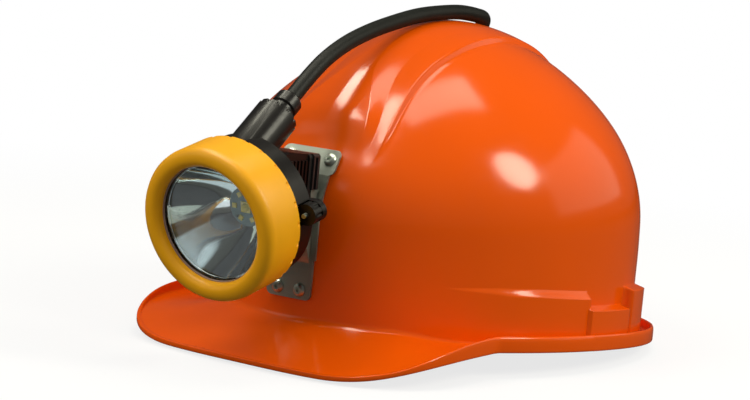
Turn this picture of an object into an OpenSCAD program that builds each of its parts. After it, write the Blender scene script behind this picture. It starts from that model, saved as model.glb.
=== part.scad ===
// Miner's cap lamp on its safety helmet, with cable and belt battery pack.
// Millimetres. The wearer looks along -Y, the wearer's left is +X, up is +Z.
// The origin is the middle of the head opening, on the surface that the helmet rests on.

/* [Helmet shell] */
// Half width of the dome at its wall
shell_half_w = 100; // [92:1:108]
// Room between the headband's line and the dome's line at the brow
brow_room = 29; // [26:1:34]
// Room between the headband's line and the dome's line at the nape
nape_room = 18; // [16:1:24]
// Height at which the upright wall turns into the crown
wall_z = 64; // [56:1:70]
// Height of the plain dome, without its crest
crown_z = 157; // [150:1:164]
// Wall thickness of the shell
shell_t = 2.6; // [2:0.1:3.2]
// Width of the rain gutter outside the dome
gutter_w = 8.5; // [7:0.5:11]
// Height of the gutter's outer lip over its underside
lip_h = 6; // [5:0.5:8]
// Reach of the peak past the dome
peak_reach = 38; // [30:1:48]
// Height of the peak's root over the floor, at the front
peak_root_z = 22; // [16:1:28]
// Rise of the brim's underside beside the ears
side_rise = 12; // [6:0.5:13]
// Height of the crest's broad step over the plain dome
step_h = 2.2; // [1.5:0.1:3]
// Height of the crest's ridge over its step, at the brow
ridge_h = 2.8; // [1.5:0.1:3.5]
// Depth of the temple ledge at its rear end
ledge_d = 3.6; // [2:0.1:4.5]
// Depth of the accessory socket bosses at the sides
boss_d = 5.5; // [3:0.5:6.5]

/* [Head harness] */
// Half width of the headband, inside
band_half_w = 78; // [72:1:82]
// Half length of the headband, inside
band_half_l = 96; // [90:1:99]
// Height of the headband
band_h = 30; // [24:1:36]
// Thickness of the headband
band_t = 1.8; // [1.4:0.1:2.2]
// Height of the crown straps over the floor, inside the dome
strap_top = 118; // [108:1:124]
// Width of the crown straps
strap_w = 20; // [16:1:24]
// Thickness of the crown straps
strap_t = 1.2; // [1:0.1:1.6]
// Diameter of the headband's adjusting knob
ratchet_d = 27; // [22:1:30]

/* [Lamp bracket] */
// Thickness of the bracket's steel sheet
sheet_t = 1.2; // [1:0.1:1.4]
// Outer width of the raised channel that takes the hook
channel_w = 21; // [18:0.5:22]
// Height of the raised channel's lower end
channel_z = 54.6; // [52:0.2:57]
// Height of the raised channel's open mouth
mouth_z = 80.6; // [76:0.2:83]
// Width of the bracket's top tab
tab_w = 32; // [30:0.5:34]
// Diameter of the rivet heads
rivet_d = 6.4; // [5.6:0.1:7]

/* [Lamp head] */
// Outer diameter of the bezel
bezel_d = 71.5; // [70:0.5:76]
// Depth of the bezel along its axis
bezel_depth = 23.5; // [21:0.5:25]
// Diameter of the bezel's opening
opening_d = 55; // [50:0.5:56]
// Reach of the bezel's front past the dome
lamp_reach = 70.4; // [68:0.2:74]
// Height of the bezel's centre over the floor
lamp_z = 65.4; // [63:0.2:68]
// Downward tilt of the beam, in degrees
lamp_pitch = 14; // [12:0.5:16]
// Thickness of the lens
lens_t = 2.5; // [2:0.1:3]
// Depth of the reflector behind the lens
reflector_depth = 22.8; // [20:0.2:24]
// Diameter of the reflector's small end
board_d = 18.6; // [16:0.2:20]
// Wall of the lamp's housing
housing_wall = 2.4; // [2:0.1:2.6]
// Diameter of the cable boss
boss_dia = 20.5; // [18:0.5:22]
// Thickness of the hook blade
blade_t = 1.6; // [1.4:0.1:1.8]
// Diameter of the switch knob
knob_d = 10; // [9:0.2:10.4]
// Length of the switch knob
knob_l = 5.4; // [5:0.2:7]

/* [Cable] */
// Diameter of the cable
cable_d = 7.6; // [7:0.1:7.8]

/* [Battery pack] */
// Length of the pack, with its cover
pack_l = 117; // [110:1:124]
// Wall of the cell holders beside the outer cells
holder_side = 1.1; // [0.9:0.1:4]
// Thickness of the pack
pack_t = 38; // [34:1:42]
// Wall of the pack's case
pack_wall = 2.6; // [2:0.1:3]
// Length of the pack's cover
cover_l = 16; // [13:0.5:20]
// Diameter of each cell
cell_d = 18.2; // [17:0.1:18.4]
// Length of each cell
cell_l = 66; // [60:1:70]
// Width of the belt that the loops take
belt_w = 50; // [40:1:54]

/* [Hidden] */
$fn = 48;
eps = 0.01;
// Small gap between pieces that are fitted face to face, and between pieces that move.
seat = 0.05;
run_gap = 0.3;
brim_t = 2.8;
shell_front = band_half_l + brow_room;
shell_rear = band_half_l + nape_room;
ring_z = 44;
cap_share = 0.886;
brow_lean = 0.06;
flank_lean = 0.05;
crown_lean = 0.06;

orange = "#f05a14";
yellow = "#f5aa14";
black = "#1c1c1e";
steel = "#b4b6b8";
chrome = "#dfe3e6";

function clamp01(v) = max(0, min(1, v));
function smooth01(v) = let (c = clamp01(v)) c * c * (3 - 2 * c);
function mix(a, b, f) = a + (b - a) * f;
function sgn(v) = v < 0 ? -1 : 1;
function unit(v) = v / norm(v);
function ellipse_arc(a, b, a0, a1, n) = [for (i = [0:n]) let (w = mix(a0, a1, i / n)) [a * cos(w),
    b * sin(w)]];
// A flat band that follows an ellipse: a closed outline between the ellipse and its copy t further out.
function arc_band(a, b, t, a0, a1, n) =
    concat(ellipse_arc(a, b, a0, a1, n), ellipse_arc(a + t, b + t, a1, a0, n));
module copy_x(x) {
    for (side = [-1, 1]) translate([side * x, 0, 0]) children();
}
// A solid drawn in the side view (y, z), w wide across x.
module side_view(w) {
    rotate([90, 0, 90]) translate([0, 0, -w / 2]) linear_extrude(w) children();
}
module round_plate(w, h, r) {
    hull() for (x = [-1, 1]) for (y = [-1, 1]) translate([x * (w / 2 - r), y * (h / 2 - r)]) circle(r = r,
        $fn = 32);
}
module ring_2d(r0, r1) {
    difference() {
        circle(r = r1);
        circle(r = r0);
    }
}

// ---- crest: each column of the shell follows one line of the crest, from front to rear ----
// Place of each line, as a share of the half width, by station along the helmet: the middle, the ridge's
// flat top and its edge, two lines down its flank, the flank's foot, then the step's top edge and its foot.
crest_stations = [-0.66, -0.59, -0.52, -0.45, -0.35, -0.2, 0.1, 0.6];
crest_s = [
    [0, 0, 0, 0, 0, 0, 0, 0],
    [0.09, 0.062, 0.034, 0.014, 0.008, 0.006, 0.006, 0.006],
    [0.167, 0.113, 0.06, 0.026, 0.016, 0.013, 0.013, 0.013],
    [0.183, 0.128, 0.08, 0.05, 0.036, 0.038, 0.052, 0.05],
    [0.198, 0.141, 0.097, 0.071, 0.056, 0.064, 0.09, 0.088],
    [0.213, 0.155, 0.116, 0.093, 0.078, 0.092, 0.13, 0.126],
    [0.244, 0.227, 0.2, 0.18, 0.163, 0.16, 0.143, 0.14],
    [0.262, 0.245, 0.218, 0.198, 0.181, 0.178, 0.16, 0.157]
];
// Height of each line as a share of the step and of the ridge that stands on it.
crest_step = [1, 1, 1, 1, 1, 1, 1, 0];
crest_ridge = [1, 1, 0.94, 0.6, 0.25, 0, 0, 0];
// Share of the ridge's height that is left over the crown.
ridge_crown = 0.15;

crest_n = len(crest_s) - 1;
half_cols = 20;
function row_table(values) = [for (i = [0:len(crest_stations) - 1]) [crest_stations[i], values[i]]];
function col_s(j, t) =
    let (last = lookup(t, row_table(crest_s[crest_n])))
    j <= crest_n ? lookup(t, row_table(crest_s[j]))
                 : mix(last, 1, (j - crest_n) / (half_cols - crest_n));
function crest_fade(t) = smooth01((t + 0.668) / 0.12) * smooth01((0.85 - t) / 0.4);
function crest_rise(j, t) =
    j > crest_n ? 0 :
    crest_fade(t) * (step_h * crest_step[j]
        + ridge_h * crest_ridge[j] * mix(1, ridge_crown, smooth01((t + 0.45) / 0.5)));

// ---- rows of the dome, from the brow to the nape, with close pairs at the sockets' edges ----
ledge_y = [-96, -27];
boss_a_y = [-16, 9];
boss_b_y = [13, 45];
edge_w = 1.2;
function t_of(y) = y / ((y < 0 ? shell_front : shell_rear) * sqrt(0.5));
row_breaks = [-1, t_of(ledge_y[1]), t_of(ledge_y[1] + 3), t_of(boss_a_y[0] - edge_w), t_of(boss_a_y[0]),
    t_of(boss_a_y[1]), t_of(boss_a_y[1] + edge_w), t_of(boss_b_y[0] - edge_w), t_of(boss_b_y[0]),
    t_of(boss_b_y[1]), t_of(boss_b_y[1] + edge_w), 1];
row_counts = [13, 1, 1, 1, 3, 1, 2, 1, 7, 1, 9];
row_t = concat([for (b = [0:len(row_counts) - 1]) for (i = [0:row_counts[b] - 1])
    mix(row_breaks[b], row_breaks[b + 1], i / row_counts[b])], [1]);
rows = len(row_t) - 1;
cols = 2 * half_cols;

// ---- the plain dome ----
function disc(s, t) = [s * sqrt(1 - t * t / 2), t * sqrt(1 - s * s / 2)];
function dome_b(y) = y < 0 ? shell_front : shell_rear;
function dome_point(s, t, in, rise) =
    let (d = disc(s, t), rho = norm(d), u = rho < eps ? [0, 1] : d / rho,
         a = shell_half_w - in, b = dome_b(d[1]) - in, h = crown_z - wall_z - in,
         psi = 90 * min(1, rho / cap_share),
         low = clamp01((rho - cap_share) / (1 - cap_share)),
         ease = pow(sin(2 * psi), 2),
         side = 1.3 * ease * cos(psi) * u[0] * u[0],
         flank = 1 - flank_lean * side,
         brow = d[1] < 0 ? 1 - 1.4 * brow_lean * ease * cos(psi) * max(0, -u[1]) : 1,
         z = mix(wall_z + h * cos(psi) * (1 - crown_lean * side), ring_z, low),
         p = [a * u[0] * sin(psi) * flank, b * u[1] * sin(psi) * flank * brow, z],
         n = unit([p[0] / (a * a), p[1] / (b * b), h * cos(psi) / (h * h)]))
    p + rise * n;
function grid_point(i, j, in, share) =
    let (side = j - half_cols, m = abs(side), t = row_t[i], s = sgn(side) * col_s(m, t))
    dome_point(s, t, in, share * crest_rise(m, t));

// ---- the foot of the dome and the brim, as rings round the dome's lower edge ----
function edge_ij(k) =
    k < rows ? [k, cols] :
    k < rows + cols ? [rows, cols - (k - rows)] :
    k < 2 * rows + cols ? [rows - (k - rows - cols), 0] :
    [0, k - 2 * rows - cols];
ring_n = 2 * (rows + cols);
function edge_dir(k) =
    let (ij = edge_ij(k), side = ij[1] - half_cols, t = row_t[ij[0]])
    unit(disc(sgn(side) * col_s(abs(side), t), t));

// Height of the brim's underside: level at the front and rear, raised beside the ears.
function brim_z(a) = side_rise * smooth01((a + 85) / 45) * (1 - smooth01((a + 40) / 122));
peak_start = -36;
peak_round = 0.62;
rear_gutter = 4;
function peak_share(a) = clamp01((peak_start - a) / (90 + peak_start));
function gutter(a) = gutter_w + rear_gutter * smooth01((a + 10) / 50);
function rim_out(a) = [(shell_half_w + gutter(a)) * cos(a), (a < 0 ? shell_front : shell_rear) * sin(a)
    + gutter(a) * sin(a)];
function peak_out(a) =
    let (v = 90 * peak_share(a), o = rim_out(peak_start), reach = shell_front + peak_reach + o[1])
    [o[0] * pow(cos(v), peak_round), o[1] - reach * pow(sin(v), peak_round)];
function brim_out(a) = a < peak_start ? peak_out(a) : rim_out(a);
// Share of the full peak at an angle: 0 along the gutter, 1 across the brow.
function peak_blend(a) = smooth01((peak_start + 2 - a) / 28);
function floor_z(a) = brim_z(a) + brim_t;
function root_z(a) = mix(floor_z(a), peak_root_z, peak_blend(a));

// Depth that stands out of the dome's foot at height z: temple ledge and socket bosses.
ledge_end = 3;
function ledge_share(y) = clamp01((y - ledge_y[0]) / (ledge_y[1] - ledge_y[0]));
function ledge_out(y) = ledge_d * ledge_share(y) * clamp01((ledge_y[1] + ledge_end - y) / ledge_end);
function boss_out(y, span) = y >= span[0] && y <= span[1] ? boss_d : 0;
ledge_top = 33.6;
ledge_slope = 3.6;
boss_a_top = 26;
boss_b_top = 34.4;
function foot_out(y, level) =
    max(level <= 2 ? ledge_out(y) : 0, level <= 1 ? boss_out(y, boss_a_y) : 0,
        level <= 3 ? boss_out(y, boss_b_y) : 0);

// Rows of the foot: height, and which features stand out there (3 = rear boss, 2 = ledge, 1 = front boss).
// The ledge's top slopes, more so towards its rear end, and the bosses have sloped tops as well.
foot_rows = [[boss_b_top + 2.2, 4], [boss_b_top, 3], [ledge_top + 0.2, 3], [ledge_top, 2],
    [boss_a_top + 1.6, 2], [boss_a_top, 1], [0, 1]];
ledge_row = 3;
function angle_of(k) = let (d = edge_dir(k)) atan2(d[1], abs(d[0]));
function wall_xy(k, out) =
    let (d = edge_dir(k), b = dome_b(d[1]), p = [shell_half_w * d[0], b * d[1]],
         n = unit([d[0] / shell_half_w, d[1] / b]))
    p + out * n;
function foot_point(k, r) =
    let (y = wall_xy(k, 0)[1], z_low = root_z(angle_of(k)) + 1.5,
         z = foot_rows[r][0] - (r == ledge_row ? ledge_slope * ledge_share(y) : 0))
    concat(wall_xy(k, foot_out(y, foot_rows[r][1])), [max(z_low, z)]);
// A point of the brim: share f of the way out, or d short of the outer edge, at height z.
function brim_xy(k, f) =
    let (a = angle_of(k), d = edge_dir(k), y = wall_xy(k, 0)[1], p = wall_xy(k, foot_out(y, 1)),
         o = brim_out(a), q = [sgn(d[0]) * o[0], o[1]])
    mix(p, q, f);
function brim_w(k) = norm(brim_xy(k, 1) - brim_xy(k, 0));
function lip_rise(k) = mix(lip_h - brim_t, 0.7, peak_blend(angle_of(k)));
// The peak falls from its root in a soft hollow and ends level with the brim.
function top_z(k, f) = let (a = angle_of(k)) mix(root_z(a), floor_z(a), pow(clamp01(f), 0.85));
function under_z(k, f) = top_z(k, f) - brim_t;
lip_t = 2;
function brim_point(k, r) =
    let (w = brim_w(k), lip = lip_rise(k), d = min(lip_t, 0.4 * w),
         f = [min(0.1, 1.5 / w), 0.2, 0.35, 1 - 1.5 * d / w, 1 - d / w, 1 - 0.4 * d / w,
              1, 1, 1 - 0.4 * d / w, 0.55, 0.3, 0][r],
         z = r <= 2 ? top_z(k, f) :
             r == 3 ? top_z(k, 1) + 0.1 :
             r == 4 ? top_z(k, 1) + lip - 0.3 :
             r == 5 ? top_z(k, 1) + lip :
             r == 6 ? top_z(k, 1) + lip - 0.7 :
             r == 7 ? under_z(k, 1) + 0.6 :
             under_z(k, f))
    concat(r < 11 ? brim_xy(k, f) : wall_xy(k, -shell_t), [z]);
brim_rows = 12;
inner_rows = [24];
function ring_point(r, k) =
    r < len(foot_rows) ? foot_point(k, r) :
    r < len(foot_rows) + brim_rows ? brim_point(k, r - len(foot_rows)) :
    concat(wall_xy(k, -shell_t), [inner_rows[r - len(foot_rows) - brim_rows]]);
ring_rows = len(foot_rows) + brim_rows + len(inner_rows);

// ---- the whole skin, outside, round the brim and inside ----
module helmet_shell() {
    outer = [for (i = [0:rows]) for (j = [0:cols]) grid_point(i, j, 0, 1)];
    rings = [for (r = [0:ring_rows - 1]) for (k = [0:ring_n - 1]) ring_point(r, k)];
    inner = [for (i = [0:2:rows]) for (j = [0:2:cols]) grid_point(i, j, shell_t, 0.6)];
    ring_at = len(outer);
    inner_at = ring_at + len(rings);
    inner_cols = cols / 2;
    function og(i, j) = i * (cols + 1) + j;
    function ig(i, j) = inner_at + i * (inner_cols + 1) + j;
    function rim(r, k) = let (w = k % ring_n, ij = edge_ij(w))
        r < 0 ? og(ij[0], ij[1]) : ring_at + r * ring_n + w;
    function inner_rim(c) = let (ij = edge_ij((2 * c) % ring_n)) ig(ij[0] / 2, ij[1] / 2);
    faces = concat(
        [for (i = [0:rows - 1]) for (j = [0:cols - 1])
            for (f = [[og(i, j), og(i + 1, j), og(i + 1, j + 1)],
                [og(i, j), og(i + 1, j + 1), og(i, j + 1)]]) f],
        [for (r = [-1:ring_rows - 2]) for (k = [0:ring_n - 1])
            for (f = [[rim(r, k), rim(r, k + 1), rim(r + 1, k + 1)],
                [rim(r, k), rim(r + 1, k + 1), rim(r + 1, k)]]) f],
        [for (c = [0:ring_n / 2 - 1]) let (e = ring_rows - 1, f0 = rim(e, 2 * c), f1 = rim(e, 2 * c + 1),
                f2 = rim(e, 2 * c + 2), c0 = inner_rim(c), c1 = inner_rim(c + 1))
            for (f = [[f0, f1, c0], [f1, f2, c1], [f1, c1, c0]]) f],
        [for (i = [0:rows / 2 - 1]) for (j = [0:inner_cols - 1])
            for (f = [[ig(i, j), ig(i + 1, j + 1), ig(i + 1, j)],
                [ig(i, j), ig(i, j + 1), ig(i + 1, j + 1)]]) f]);
    color(orange) polyhedron(points = concat(outer, rings, inner), faces = faces, convexity = 6);
}

// ---- head harness ----
band_z = 20;
band_n = 72;
module headband() {
    color(black) translate([0, 0, band_z]) linear_extrude(band_h) difference() {
        polygon(ellipse_arc(band_half_w + band_t, band_half_l + band_t, 0, 360 - 360 / band_n, band_n - 1));
        polygon(ellipse_arc(band_half_w, band_half_l, 0, 360 - 360 / band_n, band_n - 1));
    }
}
pad_t = 3;
module brow_pad() {
    color("#3a3a3c") translate([0, 0, band_z + 2]) linear_extrude(band_h - 4)
        polygon(arc_band(band_half_w - pad_t, band_half_l - pad_t, pad_t - seat, 215, 325, 22));
}

// The straps cross over the head and meet the band at four keys.
key_angle = 50;
key_w = 16;
key_h = 12;
key_z = 26;
function polar_r(a, b, w) = a * b / norm([b * cos(w), a * sin(w)]);
// The straps are flat, so they clear the band's widest point across their own width.
strap_clear = 1.9;
strap_r = polar_r(band_half_w + band_t, band_half_l + band_t, key_angle) + strap_clear;
strap_gap = 0.7;
strap_base = band_z + band_h;
pad_r = 20;
pad_h = 4;
// Height of a strap's underside at a distance from its middle.
function strap_under(r, lift) =
    strap_base + (strap_top - strap_t - lift - strap_base) * sqrt(1 - pow(r / strap_r, 2));
module crown_strap(turn, lift) {
    rise = strap_top - lift - strap_t - strap_base;
    leg = strap_base - key_z;
    rotate([0, 0, turn]) rotate([90, 0, 0]) translate([0, strap_base, -strap_w / 2]) linear_extrude(strap_w)
        polygon(concat([[strap_r, -leg]], ellipse_arc(strap_r, rise, 0, 180, 36), [[-strap_r, -leg]],
            [[-strap_r - strap_t, -leg]], ellipse_arc(strap_r + strap_t, rise + strap_t, 180, 0, 36),
            [[strap_r + strap_t, -leg]]));
}
module crown_strap_a() {
    color("#e8e4d8") crown_strap(key_angle, 0);
}
module crown_strap_b() {
    color("#e8e4d8") crown_strap(180 - key_angle, strap_t + strap_gap);
}
module crown_pad() {
    color("#3a3a3c") translate([0, 0, strap_under(pad_r, strap_t + strap_gap) - run_gap - pad_h])
        cylinder(r = pad_r, h = pad_h);
}
module suspension_keys() {
    r0 = strap_r + strap_t + seat;
    color("#e8e4d8") for (w = [key_angle, 180 - key_angle, -key_angle, key_angle - 180])
        rotate([0, 0, w]) {
            b = (w > 0 ? shell_rear : shell_front) - shell_t;
            r1 = polar_r(shell_half_w - shell_t, b, key_angle) - 2;
            translate([r0, -key_w / 2, key_z - 3]) cube([3, key_w, key_h + 3]);
            translate([r0 + 2, -key_w / 4, key_z]) cube([r1 - r0 - 2, key_w / 2, key_h - 4]);
        }
}
// Adjuster at the nape: its case lies on the band, its knob turns behind it.
case_y = band_half_l + band_t + seat;
case_t = 4.6;
case_w = 48;
case_h = 24;
wing_w = 66;
wing_h = 16;
wing_t = 3;
case_corner = 6;
knob_room = 2;
ratchet_z = band_z + band_h / 2;
knob_back = shell_rear - shell_t - knob_room;
shaft_r = 3;
module nape_place(y) {
    translate([0, y, ratchet_z]) rotate([-90, 0, 0]) children();
}
module ratchet_case() {
    color(black) difference() {
        union() {
            nape_place(case_y) linear_extrude(case_t) round_plate(case_w, case_h, case_corner);
            nape_place(case_y) linear_extrude(wing_t) round_plate(wing_w, wing_h, case_corner);
        }
        nape_place(case_y - 1) cylinder(r = shaft_r + 0.06, h = case_t + 2);
    }
}
module ratchet_knob() {
    y0 = case_y + case_t + run_gap;
    color(black) {
        difference() {
            nape_place(y0) cylinder(d = ratchet_d, h = knob_back - y0);
            for (w = [0:20:340]) nape_place(y0 - 1) rotate([0, 0, w]) translate([ratchet_d / 2 + 0.6, 0, 0])
                cylinder(r = 1.4, h = knob_back - y0 + 2, $fn = 16);
        }
        nape_place(case_y + 0.5) cylinder(r = shaft_r, h = case_t + 1);
    }
}

// ---- lamp bracket on the brow ----
// The brow's midline at height z.
function brow_y(z) =
    let (c = clamp01((z - wall_z) / (crown_z - wall_z)), psi = acos(c))
    -shell_front * sin(psi) * (1 - 1.4 * brow_lean * pow(sin(2 * psi), 2) * c);
tab_z = 87;
tab_top = 98.5;
foot_z = 28;
channel_in = 4.2;
plate_gap = 0.3;
function plate_y(z, out) = brow_y(z) - plate_gap - out;
plate_zs = [foot_z, wall_z + 2, wall_z + 11, tab_z, tab_top];
strap_y = -(shell_front + channel_in);
strap_front = strap_y - sheet_t;
facet_z = channel_z - 7.4;
tab_tilt = atan2(brow_y(tab_top) - brow_y(tab_z), tab_top - tab_z);
rivet_top = [11.4, 93.5];
rivet_low = [6.2, 32.5];
rivet_r = 1.6;

module rivet_place(at) {
    on_tab = at[1] > tab_z;
    along = (at[1] - tab_z) / (tab_top - tab_z);
    y = on_tab ? mix(plate_y(tab_z, 0), plate_y(tab_top, 0), along) : plate_y(foot_z, 0);
    copy_x(at[0]) translate([0, y, at[1]]) rotate([90 - (on_tab ? tab_tilt : 0), 0, 0]) children();
}
module plate_outline() {
    difference() {
        union() {
            translate([0, (tab_z + tab_top) / 2]) round_plate(tab_w, tab_top - tab_z, 3);
            hull() {
                translate([0, tab_z + 2]) square([tab_w - 4, 2], center = true);
                translate([0, mouth_z]) square([channel_w + 6, 2], center = true);
            }
            translate([-channel_w / 2 - 3, facet_z]) square([channel_w + 6, mouth_z - facet_z]);
            translate([0, (foot_z + facet_z + 6) / 2]) round_plate(channel_w + 4, facet_z + 6 - foot_z, 3);
        }
        translate([-channel_w / 2 + sheet_t, facet_z + 1]) square([channel_w - 2 * sheet_t,
            mouth_z - facet_z - 1]);
    }
}
module lamp_bracket() {
    n = len(plate_zs);
    color(steel) difference() {
        union() {
            intersection() {
                side_view(tab_w + 2) polygon(concat([for (z = plate_zs) [plate_y(z, 0), z]],
                    [for (i = [n - 1:-1:0]) [plate_y(plate_zs[i], sheet_t),
                        plate_zs[i] + (i > 1 ? 0.3 : 0)]]));
                translate([0, -shell_front + 20, 0]) rotate([90, 0, 0]) linear_extrude(40) plate_outline();
            }
            // Raised channel, with the slanting facet that closes its lower end.
            side_view(channel_w) polygon([[strap_y, mouth_z], [strap_y, channel_z],
                [plate_y(foot_z, 0), facet_z],
                [plate_y(foot_z, sheet_t), facet_z - 1.4], [strap_front, channel_z - 0.6],
                    [strap_front, mouth_z]]);
            for (side = [-1, 1]) translate([side * (channel_w - sheet_t) / 2, 0, 0]) side_view(sheet_t)
                polygon([[strap_front, mouth_z], [strap_front, channel_z - 0.6],
                    [plate_y(foot_z, sheet_t), facet_z - 1.4],
                    [plate_y(foot_z, 0), facet_z], [plate_y(foot_z, 0), wall_z],
                        [plate_y(mouth_z, 0), mouth_z]]);
        }
        rivet_place(rivet_top) translate([0, 0, -2]) cylinder(r = rivet_r + seat, h = 6);
        rivet_place(rivet_low) translate([0, 0, -2]) cylinder(r = rivet_r + seat, h = 6);
    }
}
// Blind rivets: domed heads with a hollow middle, and the swollen tails inside the shell.
module blind_rivet() {
    depth = shell_t + 1.6;
    rotate_extrude() polygon([[0, 0.4], [0.9, 0.4], [0.9, 1.5], [1.8, 1.5], [2.8, 0.9], [rivet_d / 2, 0.3],
        [rivet_d / 2, 0], [rivet_r, 0], [rivet_r, -depth - sheet_t], [2.4, -depth - sheet_t - 0.8],
        [1.8, -depth - sheet_t - 2.6], [0, -depth - sheet_t - 2.8]]);
}
module bracket_rivets() {
    color(steel) {
        rivet_place(rivet_top) translate([0, 0, sheet_t + seat]) blind_rivet();
        rivet_place(rivet_low) translate([0, 0, sheet_t + seat]) blind_rivet();
    }
}

// ---- cable clip at the rear of the shell ----
cable_r = cable_d / 2;
clip_z = 49;
clip_l = 10;
clip_h = 14;
clip_y = shell_rear + plate_gap;
clip_t = 2;
clip_wall = 2.2;
clip_hole_y = clip_y + clip_t + cable_r + 1.6;
clip_span = 10.5;
clip_rivet_turn = 7;
module clip_rivet_places() {
    a = shell_half_w + plate_gap + clip_t;
    b = clip_y + clip_t;
    for (w = [90 - clip_rivet_turn, 90 + clip_rivet_turn])
        translate([a * cos(w), b * sin(w), clip_z]) rotate([0, 90,
            atan2(a * sin(w), b * cos(w))]) children();
}
module cable_clip() {
    color(black) difference() {
        union() {
            translate([0, 0, clip_z - clip_h / 2]) linear_extrude(clip_h)
                polygon(arc_band(shell_half_w + plate_gap, clip_y, clip_t, 90 - clip_span, 90 + clip_span,
                    12));
            translate([0, clip_hole_y, clip_z - clip_l / 2]) cylinder(r = cable_r + clip_wall, h = clip_l);
            translate([-cable_r - clip_wall, clip_y + 1, clip_z - clip_l / 2])
                cube([2 * (cable_r + clip_wall), cable_r + 2, clip_l]);
        }
        translate([0, clip_hole_y, clip_z - clip_l]) cylinder(r = cable_r + run_gap, h = 2 * clip_l);
        clip_rivet_places() translate([0, 0, -clip_t - 2]) cylinder(r = rivet_r + seat, h = clip_t + 4);
    }
}
module clip_rivets() {
    color(steel) clip_rivet_places() translate([0, 0, seat]) blind_rivet();
}

// ---- lamp head: its own frame has +Z along the beam, with z = 0 at the bezel's front ----
lamp_y = -(shell_front + lamp_reach);
module lamp_place() {
    translate([0, lamp_y, lamp_z]) rotate([90 + lamp_pitch, 0, 0]) children();
}
bezel_r = bezel_d / 2;
opening_r = opening_d / 2;
thread_r = bezel_r - 4.6;
drum_r = bezel_r - 2.3;
lip_l = 4.5;
gasket_t = 1;
rim_t = 1.2;
lens_z = -lip_l - gasket_t;
rim_z = lens_z - lens_t;
cone_z = rim_z - rim_t;
board_z = cone_z - reflector_depth;
board_r = board_d / 2;
board_t = 1.6;
cone_r = opening_r - 1.9;
drum_z = -bezel_depth - run_gap;
taper_z = drum_z - 11.2;
back_z = board_z - 14;
floor_t = housing_wall;

module bezel() {
    color(yellow) lamp_place() difference() {
        rotate_extrude($fn = 96) polygon([[opening_r, -1.8], [opening_r + 1.2, -0.6], [opening_r + 2.6, 0],
            [bezel_r - 2.8, -0.3], [bezel_r - 1.2, -1.3], [bezel_r - 0.3, -2.8], [bezel_r, -4.6],
            [bezel_r, -bezel_depth + 1], [bezel_r - 0.8, -bezel_depth], [thread_r, -bezel_depth],
            [thread_r, -lip_l], [opening_r - 0.4, -lip_l], [opening_r - 0.4, -2.6]]);
        // Finger notches round the rear edge
        for (w = [0:15:345]) rotate([0, 0, w]) translate([bezel_r + 0.5, 0, -bezel_depth - 1])
            cylinder(r = 1.4, h = 3.6, $fn = 16);
    }
}
module lens_gasket() {
    color("#6a5a4c") lamp_place() translate([0, 0, lens_z]) linear_extrude(gasket_t)
        ring_2d(opening_r - 0.9, thread_r - seat);
}
module lens() {
    color("#dfe8ee", 0.35) lamp_place() translate([0, 0, rim_z]) cylinder(r = thread_r - seat, h = lens_t);
}
function cone_at(z) = sqrt(pow(board_r, 2) + (pow(cone_r, 2) - pow(board_r, 2))
    * (z - board_z) / (cone_z - board_z));
cone_steps = 12;
function cone_line(out, n) = [for (i = [0:n]) let (z = mix(cone_z, board_z, i / n)) [cone_at(z) + out, z]];
function reversed(list) = [for (i = [len(list) - 1:-1:0]) list[i]];
module reflector() {
    color(chrome) lamp_place() rotate_extrude($fn = 96)
        polygon(concat([[thread_r - seat, rim_z], [cone_r + 0.6, rim_z]], cone_line(0, cone_steps),
            reversed(cone_line(rim_t, cone_steps)), [[thread_r - seat, cone_z]]));
}
module led_board() {
    color("#8fa3b4") lamp_place() translate([0, 0, board_z - board_t]) difference() {
        cylinder(r = board_r + rim_t, h = board_t);
        for (w = [45:180:225]) rotate([0, 0, w]) translate([board_r - 2, 0, -1]) cylinder(r = 0.8,
            h = board_t + 2);
    }
}
module main_led() {
    color("#e9d44a") lamp_place() translate([0, 0, board_z]) {
        translate([-2.5, -2.5, 0]) cube([5, 5, 0.8]);
        translate([0, 0, 0.8]) rotate_extrude() polygon([[0, 0], [1.9, 0], [1.8, 0.6], [1.3, 1.2],
            [0.6, 1.5], [0, 1.6]]);
    }
}
side_led_r = board_r - 2.9;
module side_leds() {
    color("#e9d44a") lamp_place() translate([0, 0, board_z]) {
        for (w = [0:60:300]) rotate([0, 0, w]) translate([side_led_r - 1.1, -1.1, 0]) cube([2.2, 2.2, 0.7]);
        rotate([0, 0, 30]) translate([side_led_r, 0, 0])
            rotate_extrude() polygon([[0, 0], [1.1, 0], [1.1, 1.2], [0.9, 1.8], [0.5, 2.2], [0, 2.3]]);
    }
}
// Aluminium heat sink behind the board, with three cooling discs.
holder_l = 8;
holder_z = board_z - board_t - holder_l;
module led_holder() {
    color("#c9ccd0") lamp_place() translate([0, 0, holder_z]) difference() {
        union() {
            cylinder(r = 7, h = holder_l);
            for (i = [0:2]) translate([0, 0, i * 2.4]) cylinder(r = board_r + 3, h = 1.2);
            translate([0, 0, holder_l - 1.6]) cylinder(r = board_r + rim_t, h = 1.6);
        }
        translate([0, 0, -1]) cylinder(r = 2.5, h = holder_l + 2);
    }
}
driver_t = 1.4;
driver_z = holder_z - driver_t;
driver_r = 17;
module driver_board() {
    color("#2f6b3f") lamp_place() translate([0, 0, driver_z]) difference() {
        cylinder(r = driver_r, h = driver_t);
        translate([0, driver_r - 3, -1]) cylinder(r = 2, h = driver_t + 2);
    }
}

// The boss for the cable leans up and back from the housing's shoulder.
boss_r = boss_dia / 2;
boss_up = 24;
boss_at = [34.6, -55.4];
boss_l = 27;
seal_r = 7;
seal_l = 9;
cable_gap = 0.05;
module boss_place() {
    lamp_place() translate([0, boss_at[0], boss_at[1]]) rotate([boss_up - 180, 0, 0]) children();
}
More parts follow.
